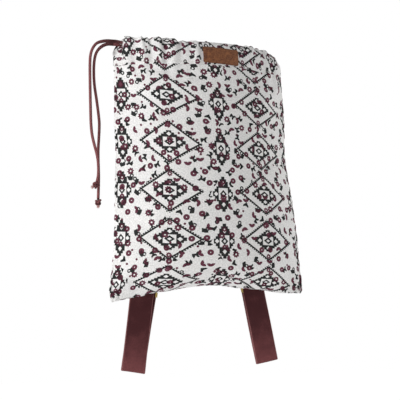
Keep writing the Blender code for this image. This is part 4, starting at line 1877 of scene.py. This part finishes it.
@dataclass
class Drawcord:
    """The braided cord: its run through the casing, two free ends and their knots."""

    plan: DrawcordPlan
    knot_radius: float = 0.0043
    pressed_share: float = 0.20
    pressed_reach: float = 0.018
    tip_length: float = 0.0030
    strands: int = 18
    strand_turn: float = 2.4
    strand_radius: float = 0.00052
    run_spacing: float = 0.004
    tail_spacing: float = 0.0035
    knot_spacing: float = 0.0011
    knot_points: int = 36

    def press(self, line: Sequence[Vector], share: float) -> float:
        """How far a cord is pressed against its neighbour, near where it leaves the casing."""
        return self.pressed_share * (1 - eased(share * route_length(line) / self.pressed_reach - 0.9))

    def build(self, finishes: Finishes) -> None:
        """Lays the run and both ends, and ties the knots.

        Args:
            finishes: the bag's finishes.
        """
        cord = finishes.cord
        radius = self.plan.diameter / 2
        bm = bmesh.new()
        line = smooth_route(self.plan.run(), self.run_spacing)
        tube(bm, line, lambda t: radius, pressed=lambda t: self.press(line, min(t, 1 - t) * 1.5))
        run = add_piece("cord_in_casing", bm, cord)
        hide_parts("drawcord_run")
        for upper in (True, False):
            self.lay_tail(upper, finishes)

    def lay_tail(self, upper: bool, finishes: Finishes) -> None:
        """Lays one free end of the cord, with its knot.

        Args:
            upper: which of the two.
            finishes: the bag's finishes.
        """
        label = "upper" if upper else "lower"
        route = smooth_route(self.plan.tail(upper), self.plan.spacing * self.plan.diameter)
        line = smooth_route(route, self.tail_spacing)
        line[0] = line[0] + Vector((self.plan.end_gap, 0, 0))
        bm = bmesh.new()
        tube(bm, line, lambda t: self.plan.diameter / 2, pressed=lambda t: self.press(line, t))
        tail = add_piece(f"cord_tail_{label}", bm, finishes.cord)
        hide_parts(f"drawcord_tail_{label}")
        fall = (line[-1] - line[-2]).normalized()
        knot = self.tie(label, line[-1], fall, upper, finishes)
        tuple(self.plan.exit(upper))
        round(route_length(line), 4)
        LOG.info("cord end %s: %.0f mm long", label, route_length(line) * 1000)

    def tie(
        self, label: str, end: Vector, fall: Vector, upper: bool, finishes: Finishes
    ) -> list[bpy.types.Object]:
        """Ties an overhand knot at the end of a tail.

        Args:
            label: which tail.
            end: where the tail's tube ends.
            fall: the way it hangs there.
            upper: whether it is the upper tail, whose tip points aside.
            finishes: the bag's finishes.

        Returns:
            The knot and the loose strands of its cut end.
        """
        turn = fall.rotation_difference(Vector((0, 0, -1))).to_matrix().inverted()
        spin = Matrix.Rotation(0.5 if upper else 2.2, 3, "Z")
        r = self.knot_radius
        middle = Vector((0, 0, -1.45 * r))
        loop = []
        for k in range(1, self.knot_points):
            a = math.tau * (0.06 + 0.88 * k / self.knot_points) + math.pi / 2
            trefoil = Vector((
                math.sin(a) + 2 * math.sin(2 * a), math.cos(a) - 2 * math.cos(2 * a),
                -1.15 * math.sin(3 * a),
            ))
            upright = Vector((trefoil.x, trefoil.z * 1.2, trefoil.y * 0.9))
            loop.append(middle + spin @ upright * (r * 0.40))
        lean = Vector((-0.75, -0.05, -0.65)) if upper else Vector((0.08, 0.0, -1.0))
        last = middle + lean.normalized() * (1.3 * r)
        tip = last + lean.normalized() * self.tip_length * 0.4
        points = [Vector((0, 0, 0.0005)), Vector((0, 0, -0.2 * r))] + loop + [last, tip]
        bm = bmesh.new()
        line = smooth_route(points, self.knot_spacing)
        thin = self.plan.diameter / 2
        tube(bm, line, lambda t: thin * (0.92 - 0.14 * eased((t - 0.02) / 0.1)), sides=12)
        loose = bmesh.new()
        self.fray(loose, tip, lean.normalized())
        for vert in bm.verts[:] + loose.verts[:]:
            vert.co = end + turn @ vert.co
        knot = add_piece(f"cord_knot_{label}", bm, finishes.cord)
        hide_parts(f"end_knot_{label}")
        return [knot, add_piece(f"cord_fray_{label}", loose, finishes.fluff)]

    def fray(self, bm: bmesh.types.BMesh, tip: Vector, lean: Vector) -> None:
        """Adds loose strands at the cut end of the cord.

        Args:
            bm: where they are added.
            tip: the middle of the cut.
            lean: the way the cord points.
        """
        side = lean.orthogonal().normalized()
        for k in range(self.strands):
            out = Matrix.Rotation(self.strand_turn * k, 3, lean) @ side * (0.3 + 0.35 * (k % 3))
            start = tip - lean * 0.0012 + out * 0.0014
            reach = self.tip_length * (1.35 + 0.3 * math.sin(5.1 * k))
            end = start + lean * reach + out * 0.0013
            middle = start.lerp(end, 0.5) + out * 0.0005
            tube(bm, [start, middle, end], lambda t: self.strand_radius * (1 - 0.5 * t), 5)


# The straps


@dataclass
class Strap:
    """A shoulder strap: webbing sewn on at both ends, whose slack hangs below the bag.

    Sizes in pairs are for the left strap and the right one.
    """

    form: BagForm
    hand: Hand
    width: float = 0.042
    thickness: float = 0.0020
    root_x: float = 0.035
    root_below: float = 0.009
    sewn: float = 0.030
    splay: float = math.radians(10)
    foot_height: float = 0.352
    loop_lengths: Pair = (0.527, 0.518)
    spreads: Pair = (0.0045, 0.0020)
    tack_shifts: Pair = (0.0045, -0.0020)
    sway: float = 0.0022
    curl: float = 0.0028
    curled_edge: float = 0.78
    stand_off: float = 0.011
    ply_gap: float = 0.0012
    cloth_gap: float = 0.0004
    seam_thickness: float = 0.003
    tack_down: float = 0.388
    tack_length: float = 0.0075
    tack_half: float = 0.0018
    tack_turns: int = 11
    tack_thread: float = 0.00042
    bow: float = 0.00035
    stitch_inset: float = 0.004
    path_spacing: float = 0.006
    half_section: Line = (
        (-1.0, 0.30), (-0.985, 0.72), (-0.93, 1.0), (-0.8, 0.94), (-0.6, 0.92), (-0.4, 0.92),
        (-0.2, 0.92), (0.0, 0.92), (0.2, 0.92), (0.4, 0.92), (0.6, 0.92), (0.8, 0.94),
        (0.93, 1.0), (0.985, 0.72), (1.0, 0.30),
    )

    @property
    def loop_length(self) -> float:
        """How far the fold hangs below the casing seam."""
        return self.loop_lengths[self.hand is Hand.RIGHT]

    @property
    def spread(self) -> float:
        """How much further out than the rear run the front one is sewn on."""
        return self.spreads[self.hand is Hand.RIGHT]

    @property
    def tack_shift(self) -> float:
        """How much lower than its solid the tack is sewn."""
        return self.tack_shifts[self.hand is Hand.RIGHT]

    @property
    def fold(self) -> float:
        """Distance down the strap of its fold."""
        return self.loop_length - self.root_below

    @property
    def foot(self) -> float:
        """Distance down the strap of the panel's edge, under which it is sewn on."""
        return self.foot_height - self.root_below

    def panel(self, down: float) -> float:
        """How far behind the bag's middle the back panel reaches, under the strap.

        Args:
            down: distance down the strap.

        Returns:
            Metres, with the seam's thickness.
        """
        x = self.hand.value * (self.root_x + math.sin(self.splay) * down)
        z = -self.root_below - math.cos(self.splay) * down
        reach = 0.0
        for dx in (-0.5, -0.25, 0.0, 0.25, 0.5):
            for dz in (-0.006, 0.0, 0.006):
                v = 1 + min(z + dz, 0.0) / self.form.height
                if v <= 0:
                    continue
                u = (x + dx * self.width) / self.form.half_width(v, x)
                if abs(u) < 1:
                    out = self.form.sack_point(u, v, Side.BACK).y - self.form.middle_y
                    reach = max(reach, out + self.seam_thickness / 2)
        return reach

    def path(self) -> list[tuple[float, float, float]]:
        """The strap's middle line: depth behind the bag's middle, way down, way outwards.

        Returns:
            Its points, from the root down and back up to the panel's edge.
        """
        foot_down, fold = self.foot, self.fold
        lie = self.cloth_gap + self.thickness / 2
        ply = self.thickness + self.ply_gap
        root = max(self.panel(d) for d in (0.0, self.sewn / 2, self.sewn)) + lie
        foot = max(self.panel(foot_down - k * self.sewn / 2) for k in range(3)) + lie
        belly = max(self.panel(foot_down * k / 12) for k in range(13)) + lie
        hang = foot + ply
        down_the_back = (
            (root, 0.0), (root, self.sewn), (belly + 0.75 * self.stand_off, foot_down * 0.27),
            (belly + self.stand_off, foot_down * 0.48),
            (belly + 0.6 * self.stand_off, foot_down * 0.72),
            (max(hang, belly), foot_down * 0.93), (hang + 0.0006, foot_down + 0.02),
            (hang, fold - 0.030), (hang, fold - 0.012),
        )
        line = [
            (p.x, p.y, self.inwards(p.y))
            for p in smooth_route([(y, d, 0) for y, d in down_the_back], self.path_spacing)
        ]
        middle, radius = (foot + hang) / 2, ply / 2
        line += [
            (middle + radius * math.cos(a), fold - radius + radius * math.sin(a), 0.0)
            for a in (math.pi * k / 10 for k in range(11))
        ]
        up_the_front = (
            (foot, fold - 0.012), (foot, (fold + foot_down) / 2), (foot, foot_down),
            (foot, foot_down - self.sewn),
        )
        line += [
            (p.x, p.y, self.hand.value * self.spread * (fold - p.y) / (fold - foot_down))
            for p in smooth_route([(y, d, 0) for y, d in up_the_front], self.path_spacing)
        ]
        return line

    def inwards(self, down: float) -> float:
        """How far the left strap's rear run sways inwards at the panel's edge.

        Args:
            down: distance down the strap.

        Returns:
            Metres.
        """
        if self.hand is Hand.RIGHT:
            return 0.0
        fall = eased((down - self.foot) / (self.fold - self.foot - 0.012))
        return self.sway * eased(down / self.foot) * (1 - fall)

    def curled(self, down: float, across: float) -> float:
        """How far the rear run's inner edge curls forwards, just below the panel's edge.

        Args:
            down: distance down the strap.
            across: share across the strap, from -1 to 1.

        Returns:
            Metres.
        """
        inner = max(0.0, -self.hand.value * across - self.curled_edge) / (1 - self.curled_edge)
        below = down - self.foot
        return self.curl * inner**2 * eased(below / 0.012) * (1 - eased((below - 0.02) / 0.085))

    def placed(self, out: float, depth: float, down: float) -> Vector:
        """A point of the strap, from its own measures to the row frame.

        Args:
            out: distance to the side of the strap's line.
            depth: distance behind the bag's middle.
            down: distance down the strap.

        Returns:
            The point in the row frame.
        """
        turn = Matrix.Rotation(-self.hand.value * self.splay, 3, "Y")
        root = Vector((self.hand.value * self.root_x, self.form.middle_y, -self.root_below))
        return root + turn @ Vector((out, depth, -down))

    def build(self, finishes: Finishes) -> bpy.types.Object:
        """Weaves the strap and sews it on.

        Args:
            finishes: the bag's finishes.

        Returns:
            The webbing, which stands for its solid.
        """
        label = self.hand.name.lower()
        strap = self.weave(label, finishes.webbing)
        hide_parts(f"shoulder_strap_{label}")
        self.sew(label, finishes.dark_thread)
        self.tack(label, finishes.ochre_thread)
        return strap

    def weave(self, label: str, webbing: Material) -> bpy.types.Object:
        """Makes the webbing itself, a flat band with rounded edges, rolled from a grid.

        Args:
            label: which strap.
            webbing: its finish.

        Returns:
            The finished piece.
        """
        line, edge = self.path(), self.half_section
        loop = [(s, t) for s, t in edge] + [(s, -t) for s, t in reversed(edge)]
        fold = max(range(len(line)), key=lambda i: line[i][1])
        runs = [0.0]
        for a, b in zip(line, line[1:]):
            runs.append(runs[-1] + math.hypot(b[0] - a[0], b[1] - a[1]))

        def lay(around: float, share: float) -> tuple[Vector, Pair]:
            """A point of the webbing's skin, with the slight bow of a band that hangs.

            Args:
                around: share round the webbing's section.
                share: share along the strap.

            Returns:
                Its place, and its place on the map.
            """
            i, k = round(share * (len(line) - 1)), round(around * len(loop)) % len(loop)
            (y, down, out), (across, part) = line[i], loop[k]
            a, b = line[max(i - 1, 0)], line[min(i + 1, len(line) - 1)]
            normal = Vector((a[1] - b[1], b[0] - a[0])).normalized()
            wave = self.bow * math.sin(runs[i] * 61.0 + self.hand.value)
            wave *= (across * across - 0.4) * eased(abs(i - len(line) / 2) / 12)
            off = normal * (self.thickness / 2 * part + wave)
            mapped = (self.width / 2 * (1 + across), runs[i])
            y -= self.curled(down, across) if i < fold else 0.0
            return self.placed(out + across * self.width / 2, y + off.x, down + off.y), mapped

        bm = bmesh.new()
        close_roll(bm, lay_grid(bm, "webbing", len(loop), len(line) - 1, lay))
        return add_piece(f"webbing_strap_{label}", bm, webbing)

    def sew(self, label: str, thread: Material) -> None:
        """Sews a crossed box at the root, on the strap's outside.

        Args:
            label: which strap.
            thread: the thread's finish.
        """
        line = self.path()
        root = line[0][0] + self.thickness / 2
        half, inset = self.width / 2 - self.stitch_inset, self.stitch_inset
        box = [(-half, inset), (half, inset), (half, self.sewn), (-half, self.sewn)]
        runs = [[*box, box[0]], [box[0], box[2]], [box[1], box[3]]]
        bm = bmesh.new()
        out = self.placed(0, 1, 0) - self.placed(0, 0, 0)
        for corners in runs:
            places = [(self.placed(x, root, down), out) for x, down in self.dotted(corners)]
            Stitches(width=0.0008).add(bm, places)
        add_piece(f"strap_stitches_{label}", bm, thread)

    @staticmethod
    def dotted(corners: Sequence[Pair]) -> list[Pair]:
        """Points along straight runs between corners.

        Args:
            corners: the corners, in order.

        Returns:
            Thirteen points for each run.
        """
        return [
            (x0 + (x1 - x0) * k / 12, d0 + (d1 - d0) * k / 12)
            for (x0, d0), (x1, d1) in zip(corners, corners[1:])
            for k in range(13)
        ]

    def tack(self, label: str, thread: Material) -> None:
        """Sews the small ochre bar over the strap's inner edge.

        Args:
            label: which strap.
            thread: the thread's finish.
        """
        foot = self.path()[-1][0]
        down = self.tack_down - self.root_below + self.tack_shift
        spread = self.spread * (self.fold - down) / (self.fold - self.foot)
        inner = self.inwards(down) - self.hand.value * (self.width / 2 - 0.2 * spread)
        bm = bmesh.new()
        for k in range(self.tack_turns):
            at = down + self.tack_length * (k / (self.tack_turns - 1) - 0.5)
            middle = inner + 0.0003 * math.sin(2.7 * k)
            points = [
                self.placed(
                    middle + self.tack_half * t, foot - 0.0018 + 0.0006 * t * t, at + 0.0004 * t
                )
                for t in (-1.0, -0.5, 0.0, 0.5, 1.0)
            ]
            tube(bm, points, lambda t: self.tack_thread, 6)
        bar = add_piece(f"ochre_tack_{label}", bm, thread)
        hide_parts(f"strap_tack_{label}")


# The studio


@dataclass(frozen=True)
class Lamp:
    """A square soft lamp."""

    name: str
    place: tuple[float, float, float]
    size: float
    power: float

    def hang(self, target: Vector) -> None:
        """Hangs the lamp.

        Args:
            target: the place that it faces.
        """
        data = bpy.data.lights.new(self.name, "AREA")
        data.size, data.energy = self.size, self.power
        lamp = bpy.data.objects.new(self.name, data)
        bpy.context.collection.objects.link(lamp)
        lamp.visible_camera = False
        lamp.location = self.place
        lamp.rotation_euler = (target - lamp.location).to_track_quat("-Z", "Y").to_euler()


@dataclass(frozen=True)
class Studio:
    """White backdrop, soft lamps and the photograph's camera."""

    form: BagForm
    yaw: float = math.radians(-21)
    pitch: float = math.radians(9.2)
    roll: float = math.radians(2.3)
    distance: float = 1.8
    eye_height: float = -0.5218
    eye_shift: float = -0.0085
    lens: float = 94.8
    floor_height: float = -0.70
    floor_radius: float = 30.0
    floor_white: float = 0.80
    floor_glow: float = 0.75
    sky: float = 0.342
    lit_height: float = -0.2
    lamps: tuple[Lamp, ...] = (
        Lamp("key", (-2.4, -0.9, 0.25), 1.3, 54),
        Lamp("fill", (2.2, -0.3, 0.0), 1.6, 27),
        Lamp("back", (0.9, 2.0, 1.0), 1.4, 20),
        Lamp("bounce", (0.0, -0.13, -0.67), 0.4, 0.34),
    )

    def build(self) -> None:
        """Sets the floor, the lamps and the camera."""
        self.place_camera()
        self.lay_floor()
        self.light_world()
        for lamp in self.lamps:
            lamp.hang(Vector((0, self.form.middle_y, self.lit_height)))

    def place_camera(self) -> None:
        """Puts the camera where the photograph was taken from."""
        up = Vector((0, 0, 1))
        level = Vector((-math.sin(self.yaw), math.cos(self.yaw), 0))
        right = Vector((math.cos(self.yaw), math.sin(self.yaw), 0))
        ahead = level * math.cos(self.pitch) + up * math.sin(self.pitch)
        lift = up * math.cos(self.pitch) - level * math.sin(self.pitch)
        across = right * math.cos(self.roll) - lift * math.sin(self.roll)
        over = right * math.sin(self.roll) + lift * math.cos(self.roll)
        place = up * self.eye_height - level * self.distance
        place += Vector((self.eye_shift, self.form.middle_y, 0))
        data = bpy.data.cameras.new("photo_camera")
        data.lens, data.sensor_width = self.lens, 36
        camera = bpy.data.objects.new("photo_camera", data)
        bpy.context.collection.objects.link(camera)
        turn = Matrix((across, over, -ahead)).transposed().to_4x4()
        camera.matrix_world = Matrix.Translation(place) @ turn
        bpy.context.scene.camera = camera

    def lay_floor(self) -> None:
        """Lays a wide white floor that shows as white but keeps shadows."""
        bm = bmesh.new()
        bmesh.ops.create_circle(bm, cap_ends=True, segments=64, radius=self.floor_radius)
        bmesh.ops.translate(bm, vec=(0, 0, self.floor_height), verts=bm.verts)
        mesh = bpy.data.meshes.new("floor")
        bm.to_mesh(mesh)
        bm.free()
        floor = bpy.data.objects.new("floor", mesh)
        bpy.context.collection.objects.link(floor)
        white = self.white("floor_white", self.floor_white, self.floor_glow)
        mesh.materials.append(white)

    @staticmethod
    def white(name: str, colour: float, glow: float) -> Material:
        """A white surface that glows a little for the camera alone.

        Args:
            name: the material's name.
            colour: how white it is, from 0 to 1.
            glow: how much it glows.

        Returns:
            The material.
        """
        made = Finish(name, (colour, colour, colour), 0.9, specular=0.0)
        made.shader.inputs["Emission Color"].default_value = (1, 1, 1, 1)
        glowing = seen_directly(made.tree) * glow
        made.tree.links.new(glowing.socket, made.shader.inputs["Emission Strength"])
        return made.material

    def light_world(self) -> None:
        """Lights everything evenly, and shows as plain white."""
        world = bpy.data.worlds.new("studio")
        bpy.context.scene.world = world
        world.use_nodes = True
        tree = world.node_tree
        strength = seen_directly(tree) * (1.0 - self.sky) + self.sky
        tree.nodes["Background"].inputs["Color"].default_value = (1, 1, 1, 1)
        tree.links.new(strength.socket, tree.nodes["Background"].inputs["Strength"])


def main() -> None:
    """Builds the whole scene, piece by piece."""
    logging.basicConfig(level=logging.INFO, format="%(name)s: %(message)s")
    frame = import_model()
    LOG.info("frame: %d nodes", len(frame["nodes"]))
    form = BagForm()
    finishes = Finishes()
    Studio(form).build()
    Drawcord(DrawcordPlan(form)).build(finishes)
    Sack(form).build(finishes.canvas)
    casing = Casing(form)
    casing.build(finishes)
    Patch(form, casing).build(finishes)
    for hand in Hand:
        Strap(form, hand).build(finishes)
    bpy.context.scene.view_settings.view_transform = "Standard"


if __name__ == "__main__":
    main()
